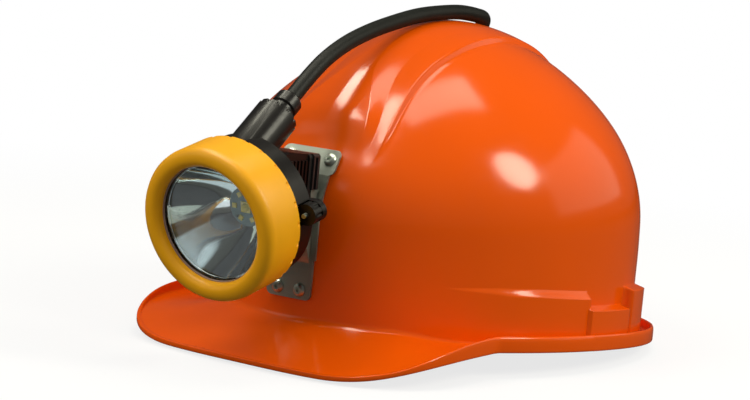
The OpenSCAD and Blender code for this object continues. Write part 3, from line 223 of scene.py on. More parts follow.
class ShellForm:
    """The helmet's surface: a dome on a grid (s, t) with its crest, then the foot and the brim as rings.

    s runs across the dome and t from brow to nape, both from -1 to 1. An angle a is in degrees from the
    side: -90 is the middle of the peak and 90 the middle of the nape."""

    # The crest's lines, as places s at the stations t: the edge of the ridge's top and the foot of its
    # flank, then the edge and the foot of the broad step.
    STATIONS = (-0.66, -0.59, -0.52, -0.45, -0.35, -0.2, 0.1, 0.6)
    TOP_EDGE = (0.169, 0.157, 0.118, 0.055, 0.022, 0.014, 0.013, 0.013)
    FLANK_FOOT = (0.215, 0.197, 0.162, 0.125, 0.1, 0.096, 0.13, 0.126)
    STEP_EDGE = (0.248, 0.234, 0.208, 0.187, 0.168, 0.163, 0.143, 0.14)
    STEP_FOOT = (0.262, 0.248, 0.222, 0.201, 0.183, 0.179, 0.16, 0.157)
    LINE_BLUR = (-0.045, -0.0225, 0.0, 0.0225, 0.045)
    BAND_COLUMNS = (8, 12, 8, 6)
    CROWDING = 0.04

    # Where the crest starts and ends along t, and where the ridge sinks and its top turns flat.
    CREST_START, CREST_IN = -0.668, 0.12
    CREST_END, CREST_OUT = 0.85, 0.4
    RIDGE_SINKS, RIDGE_EASE = -0.45, 0.5
    RIDGE_CROWN = 0.15
    ROOF_END, ROOF_EASE = -0.35, 0.2
    ROOF_MOST = 0.6
    STEP_SOFTNESS = 0.6
    RIDGE_SOFTNESS = 0.25

    # The dome: the share of the grid that is crown, and how far its shoulders lean in.
    CAP_SHARE = 0.886
    SHOULDER = 1.3
    BROW_SHOULDER = 1.4
    BROW_LEAN = 0.06
    FLANK_LEAN = 0.05
    CROWN_LEAN = 0.06
    INNER_CREST = 0.6
    QUARTER_START, QUARTER_EASE = 2, 14
    QUARTER_TOP, QUARTER_FADE = 0.1, 0.055
    QUARTER_LEVEL = 0.04

    # The foot, by y: the temple ledge, the front boss A and the rear boss B.
    LEDGE_Y = (-0.094, -0.0168)
    LEDGE_END = 0.001
    LEDGE_SLOPE = 0.0037
    LEDGE_THIN = 0.0003
    LEDGE_OPENS = 0.35
    BOSS_A_Y = (-0.0175, 0.0232)
    BOSS_A_TOP = (0.0308, 0.0279)
    BOSS_A_SLOPE = 0.0016
    BOSS_B_Y = (0.0262, 0.05)
    BOSS_B_SLOPE = 0.002
    BOSS_EASE = 0.03
    BAND_Y = (-0.094, -0.072, -0.05, -0.018, 0.021, 0.05)
    BAND_TOP = (0.0408, 0.0414, 0.0405, 0.0382, 0.0375, 0.0352)
    EDGE_W = 0.0012
    MARK_CLEAR = 0.004
    FOOT_TOP = 0.0431
    FOOT_LEVELS = (0.0222, 0.021, 0.0198, 0.018, 0.016, 0.014, 0.012, 0.01, 0.008, 0.006)
    ROW_STEPS = (0.0, 0.05, 0.25, 0.5, 0.75, 0.95)

    # The brim, by the angle a: where its side rises and falls, the gutter widens and the peak starts.
    RISE_START, RISE_EASE = -80, 45
    FALL_START, FALL_EASE = -40, 122
    WIDE_START, WIDE_EASE = -10, 50
    REAR_GUTTER = 0.004
    PEAK_START = -36.0
    PEAK_LEAD, PEAK_EASE = 2, 28
    PEAK_ROUND = 0.59
    BRIM_DISH = 0.85

    # The brim's section: its fillets in metres, the steps of its rings, and the size of its lip.
    FILLET = (0.0014, 0.002)
    FILLET_ANGLES = (22.5, 45, 67.5, 90)
    BRIM_STEPS = (0.15, 0.3, 0.45, 0.6, 0.75, 0.9)
    LIP_T = 0.002
    LIP_SHARE = 0.4
    LIP_FOOT = 0.0032
    PEAK_LIP = 0.0007
    # The lip: places back from the edge in mm, and rises as shares of the lip's height.
    LIP_PROFILE = ((3.2, 0.0), (2.7, 0.04), (2.35, 0.22), (2.15, 0.55), (1.95, 0.82), (1.6, 0.96),
                   (1.1, 1.0), (0.6, 0.95), (0.25, 0.82), (0.06, 0.58), (0.0, 0.3))
    # The edge's lower corner: places back from the edge and rises over the underside, both in mm.
    CORNER_PROFILE = ((0.0, 1.2), (0.03, 0.6), (0.2, 0.2), (0.6, 0.0))
    UNDER_STEPS = (0.8, 0.6, 0.4, 0.2)
    WALL_CORNER = 0.3
    WALL_CHAMFER = 0.0008
    WALL_STEPS = (0.12, 0.4, 0.7)

    def __init__(self, sizes):
        self.z = sizes
        self.rows = self.row_places()

    # ---- the dome
    def row_places(self):
        """Places t of the rows: evenly spaced ones, and one at each edge of the ledge and the bosses."""
        z = self.z
        even = [-1 + 2 * i / z.rows for i in range(z.rows + 1)]
        marks = [self.LEDGE_Y[0], self.LEDGE_Y[1], self.LEDGE_Y[1] + self.LEDGE_END]
        for low, high in (self.BOSS_A_Y, self.BOSS_B_Y):
            marks += [low - self.EDGE_W, low - 0.5 * self.EDGE_W, low, high, high + 0.5 * self.EDGE_W,
                      high + self.EDGE_W]
        extra = [y / (self.dome_b(y) * math.sqrt(0.5)) for y in marks]
        extra = [t for t in extra if -1 < t < 1]
        kept = [t for t in even if min(abs(t - e) for e in extra) > self.MARK_CLEAR or abs(t) == 1]
        return sorted(kept + extra)

    def lines(self, t):
        """Places s of the crest's four lines at t, blurred along the helmet so that they bend softly."""
        return [float(np.mean([np.interp(t + d, self.STATIONS, row) for d in self.LINE_BLUR]))
                for row in (self.TOP_EDGE, self.FLANK_FOOT, self.STEP_EDGE, self.STEP_FOOT)]

    def columns(self, t):
        """Places s of the columns on one half, from the middle out, crowded at the crest's creases."""
        marks = [0.0, *self.lines(t)]
        out = [0.0]
        for a, b, n in zip(marks, marks[1:], self.BAND_COLUMNS):
            shares = (self.CROWDING, *(i / n for i in range(1, n)), 1 - self.CROWDING, 1.0)
            out += [mix(a, b, share) for share in shares]
        foot, n = marks[-1], self.z.half_columns
        return out + [mix(foot, 1.0, i / n) for i in range(1, n + 1)]

    def crest(self, s, t):
        """Rise of the crest over the plain dome."""
        z = self.z
        top, flank, edge, foot = self.lines(t)
        fade = smooth01((t - self.CREST_START) / self.CREST_IN)
        fade *= smooth01((self.CREST_END - t) / self.CREST_OUT)
        f = clamp01((s - edge) / (foot - edge))
        step = 1 - mix(f, smooth01(f), self.STEP_SOFTNESS)
        u = clamp01((s - top) / (flank - top))
        ridge = (1 - self.RIDGE_SOFTNESS) * (1 - u) + self.RIDGE_SOFTNESS * (1 - smooth01(u))
        height = z.ridge_rise * mix(1, self.RIDGE_CROWN, smooth01((t - self.RIDGE_SINKS) / self.RIDGE_EASE))
        roof = math.tan(math.radians(z.roof_slope)) * z.half_width * min(s, top)
        roof *= smooth01((self.ROOF_END - t) / self.ROOF_EASE)
        height -= min(roof, self.ROOF_MOST * height)
        return fade * (z.step_rise * step + height * ridge)

    def dome_b(self, y):
        """Reach of the dome to the front or the rear, by the sign of y."""
        return self.z.front if y < 0 else self.z.rear

    @staticmethod
    def disc(s, t):
        """The grid's square (s, t) drawn onto a disc."""
        return np.array([s * math.sqrt(1 - t * t / 2), t * math.sqrt(1 - s * s / 2)])

    def dome_point(self, s, t, inset, rise):
        """A point of the dome, inset from its outer face and raised along its normal."""
        z = self.z
        d = self.disc(s, t)
        rho = np.linalg.norm(d)
        u = np.array([0.0, 1.0]) if rho < TINY else d / rho
        a, b, h = z.half_width - inset, self.dome_b(d[1]) - inset, z.crown_height - z.wall_height - inset
        psi = math.radians(90 * min(1, rho / self.CAP_SHARE))
        low = clamp01((rho - self.CAP_SHARE) / (1 - self.CAP_SHARE))
        ease = math.sin(2 * psi) ** 2
        side = self.SHOULDER * ease * math.cos(psi) * u[0] ** 2
        brow = 1
        if d[1] < 0:
            brow -= self.BROW_SHOULDER * self.BROW_LEAN * ease * math.cos(psi) * max(0, -u[1])
        flank, crown = 1 - self.FLANK_LEAN * side, 1 - self.CROWN_LEAN * side
        p = np.array([a * u[0] * math.sin(psi) * flank,
                      b * u[1] * math.sin(psi) * flank * brow,
                      mix(z.wall_height + h * math.cos(psi) * crown, z.ring_height, low)])
        n = unit(np.array([p[0] / a ** 2, p[1] / b ** 2, math.cos(psi) / h]))
        p[:2] += self.fullness(u, p[2]) * u
        return p + rise * n

    def fullness(self, u, z):
        """How far the wall stands out behind the ears, in a direction u and at a height z."""
        if u[1] <= 0:
            return 0.0
        a = math.degrees(math.atan2(u[1], abs(u[0])))
        return (self.z.rear_quarter * math.sin(math.radians(2 * a)) ** 2
                * smooth01((a - self.QUARTER_START) / self.QUARTER_EASE)
                * smooth01((self.QUARTER_TOP - z) / self.QUARTER_FADE))

    def grid(self, inset, share):
        """Rows of points over the dome, from -X to +X, with a share of the crest's rise."""
        out = []
        for t in self.rows:
            half = self.columns(t)
            places = [-s for s in reversed(half[1:])] + half
            out.append([self.dome_point(s, t, inset, share * self.crest(abs(s), t)) for s in places])
        return out

    # ---- the rings round the dome's lower edge
    def edge_places(self):
        """Row and column of each point round the grid's edge."""
        n, half = len(self.rows), self.columns(0)
        cols = 2 * (len(half) - 1)
        places = [(k, cols) for k in range(n - 1)]
        places += [(n - 1, cols - k) for k in range(cols)]
        places += [(n - 1 - k, 0) for k in range(n - 1)]
        places += [(0, k) for k in range(cols)]
        return places

    def edge_direction(self, i, j):
        """Direction from the middle to the edge point in row i and column j."""
        half = self.columns(self.rows[i])
        side = j - (len(half) - 1)
        return unit(self.disc(math.copysign(half[abs(side)], side), self.rows[i]))

    def brim_z(self, a):
        rises = smooth01((a - self.RISE_START) / self.RISE_EASE)
        return self.z.side_rise * rises * (1 - smooth01((a - self.FALL_START) / self.FALL_EASE))

    def gutter(self, a):
        return self.z.gutter + self.REAR_GUTTER * smooth01((a - self.WIDE_START) / self.WIDE_EASE)

    def rim_out(self, a):
        """The gutter's outer edge, seen from above."""
        r, g = math.radians(a), self.gutter(a)
        way = np.array([math.cos(r), math.sin(r)])
        edge = np.array([(self.z.half_width + g) * way[0], (self.dome_b(a) + g) * way[1]])
        return edge + self.fullness(way, 0.0) * way

    def brim_out(self, a):
        """The brim's outer edge with the peak, seen from above."""
        if a >= self.PEAK_START:
            return self.rim_out(a)
        v = math.radians(90 * clamp01((self.PEAK_START - a) / (90 + self.PEAK_START)))
        o = self.rim_out(self.PEAK_START)
        reach = self.z.front + self.z.peak_reach + o[1]
        return np.array([o[0] * max(0.0, math.cos(v)) ** self.PEAK_ROUND,
                         o[1] - reach * math.sin(v) ** self.PEAK_ROUND])

    def peak_blend(self, a):
        """0 along the gutter, 1 across the peak."""
        return smooth01((self.PEAK_START + self.PEAK_LEAD - a) / self.PEAK_EASE)

    def floor_z(self, a):
        return self.brim_z(a) + self.z.brim_thickness

    def root_z(self, a):
        return mix(self.floor_z(a), self.z.peak_root, self.peak_blend(a))

    def top_z(self, a, f):
        """Height of the brim's upper face at a share f of the way from the wall to its edge."""
        return mix(self.root_z(a), self.floor_z(a), clamp01(f) ** self.BRIM_DISH)

    def along_ledge(self, y):
        """0 at the ledge's front end, 1 at its rear end."""
        return clamp01((y - self.LEDGE_Y[0]) / (self.LEDGE_Y[1] - self.LEDGE_Y[0]))

    def bands(self, y):
        """Heights where the ledge or boss B starts and stands full, then those of boss A."""
        top = float(np.interp(y, self.BAND_Y, self.BAND_TOP))
        slope = mix(self.LEDGE_THIN, self.LEDGE_SLOPE, min(1.0, self.along_ledge(y) / self.LEDGE_OPENS))
        slope = mix(slope, self.BOSS_B_SLOPE, smooth01((y - self.BOSS_A_Y[0]) / self.BOSS_EASE))
        top_a = float(np.interp(y, self.BOSS_A_Y, self.BOSS_A_TOP))
        return top, top - slope, top_a, top_a - self.BOSS_A_SLOPE

    def levels(self, y):
        """Heights of the rings down the foot, crowded at the edges of the ledge and the bosses."""
        marks = (self.FOOT_TOP, *self.bands(y), self.FOOT_LEVELS[0])
        out = [mix(high, low, share) for high, low in zip(marks, marks[1:]) for share in self.ROW_STEPS]
        return out + list(self.FOOT_LEVELS)

    def foot_out(self, y, z):
        """Depth that stands out of the dome's foot: the temple ledge and the accessory bosses."""
        end = clamp01((self.LEDGE_Y[1] + self.LEDGE_END - y) / self.LEDGE_END)
        top, full, top_a, full_a = self.bands(y)
        high, low = soften((top - z) / (top - full)), soften((top_a - z) / (top_a - full_a))
        out = self.z.ledge_depth * self.along_ledge(y) * end * high
        for (start, stop), part in ((self.BOSS_A_Y, low), (self.BOSS_B_Y, high)):
            along = soften((y - start + self.EDGE_W) / self.EDGE_W)
            along *= soften((stop + self.EDGE_W - y) / self.EDGE_W)
            out = max(out, self.z.boss_depth * along * part)
        return out

    def section(self, i, j):
        """Points below the edge point (i, j): down the foot, over and under the brim, up the inner wall."""
        z = self.z
        d = self.edge_direction(i, j)
        a = math.degrees(math.atan2(d[1], abs(d[0])))
        b = self.dome_b(d[1])
        wall = np.array([z.half_width * d[0], b * d[1]])
        along = wall[1]
        wall += self.fullness(d, self.QUARTER_LEVEL) * d
        n = unit(np.array([d[0] / z.half_width, d[1] / b]))
        outer = self.brim_out(a) * np.array([math.copysign(1, d[0]), 1])
        peak = self.peak_blend(a)
        fillet = mix(*self.FILLET, peak)
        thick = mix(z.brim_thickness, z.peak_thickness, peak)
        low = self.root_z(a) + fillet
        points = []
        for level in self.levels(along):
            height = max(level, low)
            points.append((*(wall + self.foot_out(along, height) * n), height))
        base = wall + self.foot_out(along, low) * n
        points.append((*base, low))
        w = np.linalg.norm(outer - base)
        lip = mix(z.lip_height - z.brim_thickness, self.PEAK_LIP, peak)
        e = min(self.LIP_T, self.LIP_SHARE * w) / self.LIP_T

        def put(f, height):
            points.append((*mix(base, outer, f), height))

        for q in self.FILLET_ANGLES:
            r = math.radians(q)
            f = fillet * (1 - math.cos(r)) / w
            put(f, self.top_z(a, f) + fillet * (1 - math.sin(r)))
        inner = 1 - self.LIP_FOOT * e / w
        for q in self.BRIM_STEPS:
            f = mix(fillet / w, inner, q)
            put(f, self.top_z(a, f))
        top = self.top_z(a, 1)
        for back, rise in self.LIP_PROFILE:
            f = 1 - back * MM * e / w
            put(f, mix(self.top_z(a, f), top + lip, rise))
        for back, rise in self.CORNER_PROFILE:
            put(1 - back * MM * e / w, top - thick + rise * MM)
        for f in self.UNDER_STEPS:
            put(f, self.top_z(a, f) - thick)
        bottom = self.top_z(a, 0) - thick
        inside = wall - z.thickness * n
        points.append((*mix(inside, base, self.WALL_CORNER), bottom))
        points.append((*inside, bottom + self.WALL_CHAMFER))
        points += [(*inside, mix(bottom, z.ring_height, q)) for q in self.WALL_STEPS]
        return points

    def mesh(self):
        """Points and faces: the outer grid, the rings below its edge and the inner grid."""
        outer, inner = self.grid(0.0, 1.0), self.grid(self.z.thickness, self.INNER_CREST)
        edge = self.edge_places()
        rings = list(zip(*(self.section(i, j) for i, j in edge)))
        wide, count = len(outer[0]), len(edge)
        points = [p for row in outer for p in row]
        ring_at = len(points)
        points += [p for ring in rings for p in ring]
        inner_at = len(points)
        points += [p for row in inner for p in row]
        loops = [[i * wide + j for i, j in edge]]
        loops += [[ring_at + r * count + k for k in range(count)] for r in range(len(rings))]
        loops += [[inner_at + i * wide + j for i, j in edge]]
        faces = []
        for base, flip in ((0, False), (inner_at, True)):
            for i in range(len(outer) - 1):
                for j in range(wide - 1):
                    q = [base + i * wide + j, base + (i + 1) * wide + j, base + (i + 1) * wide + j + 1,
                         base + i * wide + j + 1]
                    faces.append(q[::-1] if flip else q)
        for a, b in zip(loops, loops[1:]):
            for k in range(count):
                m = (k + 1) % count
                faces.append([a[k], a[m], b[m], b[k]])
        return points, faces


# ---------------------------------------------------------------- the cable's route

BOSS_TOP = Vector((0.0, -0.150016, 0.112374))
BOSS_AXIS = Vector((0.0, 0.78801, 0.61566))
RELIEF_LENGTH = 0.0144
# The route's points, in mm, from the strain relief to the coil and from the coil to the gland.
FRONT_ROUTE = ((0, -124, 132.6), (0, -112, 140.4), (0, -96, 147.6), (0, -77, 153.4), (0, -56, 158),
               (0, -36, 161.4), (0, -16, 163.2))
CROWN_ROUTE = ((0, -16, 163.2), (0, 4, 163.9), (0, 21, 162.6), (-4, 35, 160.6), (-12, 47.5, 155.4),
               (-21, 58.5, 148), (-29, 68.5, 140.2), (-35, 78, 131.9), (-37, 88, 122.4), (-36, 96, 113.6),
               (-32, 104, 103.6), (-25.6, 110.2, 94), (-18, 114.8, 85), (-11.6, 117.8, 78),
               (-6.6, 119.8, 71.8), (-3, 120.9, 66), (-0.9, 121.5, 60), (0, 121.7, 53.6), (0, 121.7, 44.5),
               (0, 122.2, 38), (0, 123.8, 32), (0, 126.6, 26.4), (0, 130.6, 20.8), (0, 135.2, 16),
               (0.2, 140, 12), (0.6, 145, 8.6), (1.2, 150.4, 6), (2, 156, 4.4), (2.9, 162.4, 3.8),
               (3.7, 171.4, 3.8), (4, 180.4, 3.8))
TAIL_ROUTE = ((-51.6, 236, 11.9), (-57, 236, 11.9), (-65, 236, 13.9), (-74, 236, 17), (-82, 236, 18.7),
              (-90, 236, 19), (-104, 236, 19), (-116, 236, 19))
LEAD_PLACES = (-0.008, 0.006, RELIEF_LENGTH + 0.001)
COIL_CENTRE = (-0.044, 0.188)
RINGS_PER_TURN = 48
CABLE_STEP = 0.003
GUIDE = 0.01
CABLE_CORNER = 60


def metres(route):
    return [Vector(p) * MM for p in route]


def coil_points(size):
    """The coil's centreline: in by a step a turn, up a layer halfway, and out again."""
    half = size.coil_turns * 180
    out = []
    count = int(size.coil_turns * RINGS_PER_TURN)
    for i in range(count + 1):
        w = i * 360 / RINGS_PER_TURN
        r = size.coil_radius - size.coil_step * min(w, 2 * half - w) / 360
        up = smooth01((w - half + 90) / 180)
        out.append(Vector((COIL_CENTRE[0] + r * math.cos(math.radians(w)),
                           COIL_CENTRE[1] + r * math.sin(math.radians(w)),
                           size.diameter / 2 + size.coil_lift * up)))
    return out


def spline(points, before, after):
    """Points of a smooth curve through the given ones, about a cable step apart."""
    chain = [before] + list(points) + [after]
    out = [points[0].copy()]
    for a, b, c, d in zip(chain, chain[1:], chain[2:], chain[3:]):
        scale = (c - b).length
        n = max(1, round(scale / CABLE_STEP))
        m0 = (c - a) * (scale / max(scale + (b - a).length, TINY))
        m1 = (d - b) * (scale / max((d - c).length + scale, TINY))
        for i in range(1, n + 1):
            u = i / n
            out.append((2 * u ** 3 - 3 * u ** 2 + 1) * b + (u ** 3 - 2 * u ** 2 + u) * m0
                       + (3 * u ** 2 - 2 * u ** 3) * c + (u ** 3 - u ** 2) * m1)
    return out


def cable_mesh(name, line, before, after, size):
    """A piece of cable: a tube of rings along a line, its ends square to the neighbouring points."""
    chain = [before] + list(line) + [after]
    points, ref = [], Vector((1.0, 0.0, 0.0))
    for a, b, c in zip(chain, chain[1:], chain[2:]):
        t = (c - a).normalized()
        ref = (ref - t * ref.dot(t)).normalized()
        side = t.cross(ref)
        for k in range(size.sides):
            w = 2 * math.pi * k / size.sides
            points.append(b + size.diameter / 2 * (math.cos(w) * ref + math.sin(w) * side))
    obj = new_object(name, points, tube_faces(len(line), size.sides) + end_faces(len(line), size.sides))
    obj.data.set_sharp_from_angle(angle=math.radians(CABLE_CORNER))
    finish(obj, bpy.data.materials["cable_sheath"])
    return obj


# ---------------------------------------------------------------- shader groups

VECTOR_IN = ("Vector", "NodeSocketVector", (0.0, 0.0, 0.0))
BROAD_SHARE = 0.06
STREAK_STRETCH = (0.06, 1.0, 1.0)
CELL_SHARE = 0.2


def group(name, inputs, outputs, build):
    """A shader node group with the given inputs and number outputs, made once."""
    tree = bpy.data.node_groups.get(name)
    if tree:
        return tree
    tree = bpy.data.node_groups.new(name, "ShaderNodeTree")
    for label, kind, value in inputs:
        socket = tree.interface.new_socket(label, in_out="INPUT", socket_type=kind)
        socket.default_value = value
    for label in outputs:
        tree.interface.new_socket(label, in_out="OUTPUT", socket_type="NodeSocketFloat")
    start = tree.nodes.new("NodeGroupInput")
    end = tree.nodes.new("NodeGroupOutput")
    build(tree, start, end)
    return tree


def math_node(tree, operation, a, b=None, clamp=False):
    """A math node; a and b are sockets or numbers."""
    node = tree.nodes.new("ShaderNodeMath")
    node.operation = operation
    node.use_clamp = clamp
    for socket, value in zip(node.inputs, (a, b)):
        if value is None:
            continue
        if isinstance(value, (int, float)):
            socket.default_value = value
        else:
            tree.links.new(value, socket)
    return node.outputs[0]


def noise(tree, vector, scale, detail, roughness=0.55):
    """A noise value; scale is a socket or a number."""
    node = tree.nodes.new("ShaderNodeTexNoise")
    node.inputs["Detail"].default_value = detail
    node.inputs["Roughness"].default_value = roughness
    tree.links.new(vector, node.inputs["Vector"])
    if isinstance(scale, (int, float)):
        node.inputs["Scale"].default_value = scale
    else:
        tree.links.new(scale, node.inputs["Scale"])
    return node.outputs["Fac"]


def remap(tree, value, low, high, to_low, to_high, smooth=False):
    """A value carried from one range to another and held inside it."""
    node = tree.nodes.new("ShaderNodeMapRange")
    node.interpolation_type = "SMOOTHSTEP" if smooth else "LINEAR"
    tree.links.new(value, node.inputs["Value"])
    for label, number in (("From Min", low), ("From Max", high), ("To Min", to_low), ("To Max", to_high)):
        node.inputs[label].default_value = number
    return node.outputs["Result"]


def build_grain(tree, start, end):
    """Fine grain of a moulded or cast surface, with broad tone under it."""
    where, scale = start.outputs["Vector"], start.outputs["Scale"]
    fine = noise(tree, where, scale, detail=4.0)
    broad = noise(tree, where, math_node(tree, "MULTIPLY", scale, BROAD_SHARE), detail=2.0)
    tree.links.new(fine, end.inputs["Height"])
    tree.links.new(remap(tree, broad, 0.3, 0.7, 0.0, 1.0), end.inputs["Tone"])
    tree.links.new(remap(tree, fine, 0.58, 0.74, 0.0, 1.0), end.inputs["Specks"])


def build_streaks(tree, start, end):
    """Rolled or brushed metal: streaks along X, with a soft crystal mottle."""
    where, scale = start.outputs["Vector"], start.outputs["Scale"]
    stretch = tree.nodes.new("ShaderNodeVectorMath")
    stretch.operation = "MULTIPLY"
    stretch.inputs[1].default_value = STREAK_STRETCH
    tree.links.new(where, stretch.inputs[0])
    streak = noise(tree, stretch.outputs[0], scale, detail=5.0, roughness=0.7)
    cells = tree.nodes.new("ShaderNodeTexVoronoi")
    tree.links.new(where, cells.inputs["Vector"])
    tree.links.new(math_node(tree, "MULTIPLY", scale, CELL_SHARE), cells.inputs["Scale"])
    tree.links.new(streak, end.inputs["Height"])
    tone = math_node(tree, "ADD", math_node(tree, "MULTIPLY", streak, 0.6),
                     math_node(tree, "MULTIPLY", cells.outputs["Distance"], 0.5))
    tree.links.new(tone, end.inputs["Tone"])


def build_weave(tree, start, end):
    """Flat webbing: ribs across the strap crossed by a warp, from metres along and across it."""
    split = tree.nodes.new("ShaderNodeSeparateXYZ")
    tree.links.new(start.outputs["Vector"], split.inputs[0])
    turns = math_node(tree, "DIVIDE", 2 * math.pi, start.outputs["Pitch"])
    along = math_node(tree, "SINE", math_node(tree, "MULTIPLY", split.outputs["X"], turns))
    across = math_node(tree, "SINE", math_node(tree, "MULTIPLY", split.outputs["Y"], turns))
    both = math_node(tree, "MULTIPLY", along, across)
    tree.links.new(remap(tree, both, -1, 1, 0, 1), end.inputs["Height"])
    # The tone follows the ribs' height: painted shade that darkens the hollows between the ribs.
    tree.links.new(remap(tree, both, -0.8, 0.9, 0, 1, smooth=True), end.inputs["Tone"])


def grain_group():
    return group("fine_grain", [VECTOR_IN, ("Scale", "NodeSocketFloat", 400.0)],
                 ["Height", "Tone", "Specks"], build_grain)


def streak_group():
    return group("rolled_streaks", [VECTOR_IN, ("Scale", "NodeSocketFloat", 300.0)],
                 ["Height", "Tone"], build_streaks)


def weave_group():
    return group("flat_weave", [VECTOR_IN, ("Pitch", "NodeSocketFloat", 0.0011)],
                 ["Height", "Tone"], build_weave)


# ---------------------------------------------------------------- materials

RUBBER = (0.05, 0.05, 0.052)
GASKET = (0.34, 0.22, 0.17)
HOOK = (0.022, 0.02, 0.02)
BOARD = (0.18, 0.28, 0.30)
CIRCUIT = (0.02, 0.14, 0.05)
WRAP = (0.03, 0.14, 0.36)
ALUMINIUM = (0.62, 0.63, 0.64)
RIM = (0.88, 0.92, 0.92)
LENS = (0.97, 0.99, 1.0, 1)
MIRROR = ((0.62, 0.69, 0.69), (0.70, 0.78, 0.78))
PHOSPHOR = ((0.55, 0.47, 0.06), (0.82, 0.72, 0.16))
RIVET_SHINE = 1.45


class Shader:
    """A material under construction: the Principled shader and the ways to feed it."""

    def __init__(self, name, **values):
        self.material = bpy.data.materials.new(name)
        self.material.use_nodes = True
        self.tree = self.material.node_tree
        self.body = self.tree.nodes["Principled BSDF"]
        self.output = self.tree.nodes["Material Output"]
        for label, value in values.items():
            self.body.inputs[label.replace("_", " ")].default_value = value

    def coordinates(self, kind="Object"):
        return self.tree.nodes.new("ShaderNodeTexCoord").outputs[kind]

    def use(self, tree, vector, **values):
        """Places a node group and returns its outputs."""
        node = self.tree.nodes.new("ShaderNodeGroup")
        node.node_tree = tree
        self.tree.links.new(vector, node.inputs["Vector"])
        for label, value in values.items():
            node.inputs[label].default_value = value
        return node.outputs

    def colours(self, factor, low, high):
        """Base colour between two colours."""
        node = self.tree.nodes.new("ShaderNodeMix")
        node.data_type = "RGBA"
        node.inputs["A"].default_value = (*low, 1)
        node.inputs["B"].default_value = (*high, 1)
        self.tree.links.new(factor, node.inputs["Factor"])
        self.tree.links.new(node.outputs["Result"], self.body.inputs["Base Color"])

    def roughness(self, value, low, high):
        self.tree.links.new(remap(self.tree, value, 0.0, 1.0, low, high), self.body.inputs["Roughness"])

    def bump(self, height, distance, strength=1.0):
        node = self.tree.nodes.new("ShaderNodeBump")
        node.inputs["Distance"].default_value = distance
        node.inputs["Strength"].default_value = strength
        self.tree.links.new(height, node.inputs["Height"])
        self.tree.links.new(node.outputs["Normal"], self.body.inputs["Normal"])

    def grained(self, scale, low, high, roughness, distance):
        """Gives the body a fine grain with two colours and a range of roughness. Returns the material."""
        out = self.use(grain_group(), self.coordinates(), Scale=scale)
        self.colours(out["Tone"], low, high)
        self.roughness(out["Height"], *roughness)
        self.bump(out["Height"], distance)
        return self.material

    def surface(self, factor, other):
        """Mixes the body with another shader and gives the result to the output."""
        blend = self.tree.nodes.new("ShaderNodeMixShader")
        self.tree.links.new(factor, blend.inputs["Fac"])
        self.tree.links.new(self.body.outputs[0], blend.inputs[1])
        self.tree.links.new(other, blend.inputs[2])
        self.tree.links.new(blend.outputs[0], self.output.inputs["Surface"])


def scaled(c, f):
    return tuple(min(1.0, v * f) for v in c)


def moulded(name, c, roughness, scale=900.0, distance=0.00006, spread=0.12, coat=0.0, tint=0.12,
            specular=0.5):
    """Moulded plastic or rubber with a fine grain and a slow change of tone."""
    m = Shader(name, Coat_Weight=coat, Coat_Roughness=0.08, Specular_IOR_Level=specular)
    tones = scaled(c, 1 - tint), scaled(c, 1 + tint)
    return m.grained(scale, *tones, (roughness - spread, roughness + spread), distance)


def plated(name, c, roughness, scale=420.0, distance=0.00003, tint=0.16):
    """Plated or rolled metal."""
    m = Shader(name, Metallic=1.0)
    out = m.use(streak_group(), m.coordinates(), Scale=scale)
    m.colours(out["Tone"], scaled(c, 1 - tint), scaled(c, 1 + tint))
    m.roughness(out["Tone"], roughness - 0.08, roughness + 0.14)
    m.bump(out["Height"], distance)
    return m.material


def shell_material(c):
    """Glossy moulded shell: deep orange with the faint waviness of moulding."""
    m = Shader("shell_gloss", Specular_IOR_Level=0.42)
    where = m.coordinates()
    out = m.use(grain_group(), where, Scale=160.0)
    m.colours(out["Tone"], scaled(c, 0.95), scaled(c, 1.04))
    m.roughness(out["Height"], 0.1, 0.2)
    m.bump(noise(m.tree, where, 22.0, detail=1.0), 0.00012, strength=0.3)
    return m.material


def lens_material():
    """Clear lens that lets shadow rays through, so that the lamps light what lies behind it."""
    m = Shader("lens_clear", Base_Color=LENS, Roughness=0.02, IOR=1.49, Transmission_Weight=1.0,
               Metallic=0.0)
    clear = m.tree.nodes.new("ShaderNodeBsdfTransparent")
    path = m.tree.nodes.new("ShaderNodeLightPath")
    out = m.use(grain_group(), m.coordinates(), Scale=700.0)
    m.roughness(out["Specks"], 0.01, 0.06)
    m.surface(path.outputs["Is Shadow Ray"], clear.outputs[0])
    return m.material


def reflector_material():
    """Vacuum-plated mirror with a faint mottle."""
    return Shader("reflector_mirror", Metallic=1.0).grained(600.0, *MIRROR, (0.04, 0.06), 0.000003)


def webbing_material(c, pitch):
    """Woven webbing, with painted shade that makes it darker between its ribs."""
    m = Shader("webbing", Sheen_Weight=0.25, Sheen_Roughness=0.5)
    out = m.use(weave_group(), m.coordinates("UV"), Pitch=pitch)
    # Painted shade: the colour darkens in the weave's hollows, following the ribs' height.
    m.colours(out["Tone"], scaled(c, 0.62), c)
    m.roughness(out["Tone"], 0.9, 0.72)
    m.bump(out["Height"], 0.0002)
    return m.material


def foam_material(c):
    """Dark cloth over foam."""
    m = Shader("pad_cloth", Sheen_Weight=0.2, Sheen_Roughness=0.5)
    return m.grained(1500.0, scaled(c, 0.8), scaled(c, 1.4), (0.7, 0.95), 0.0003)


def emitter_material():
    """Yellow phosphor under a clear coat."""
    m = Shader("emitter_phosphor", Coat_Weight=0.8, Coat_Roughness=0.05)
    return m.grained(2200.0, *PHOSPHOR, (0.25, 0.5), 0.00002)


# ---------------------------------------------------------------- finishes of the CAD nodes

REPLACED = {"helmet_shell", "brow_pad", "crown_strap_a", "crown_strap_b", "crown_pad", "cable_front",
            "cable_crown", "cable_coil", "cable_tail"}
SHARP_ANGLE = 30.0
WELD_GAP = 1e-6
PLACES_PER_METRE = 1e6


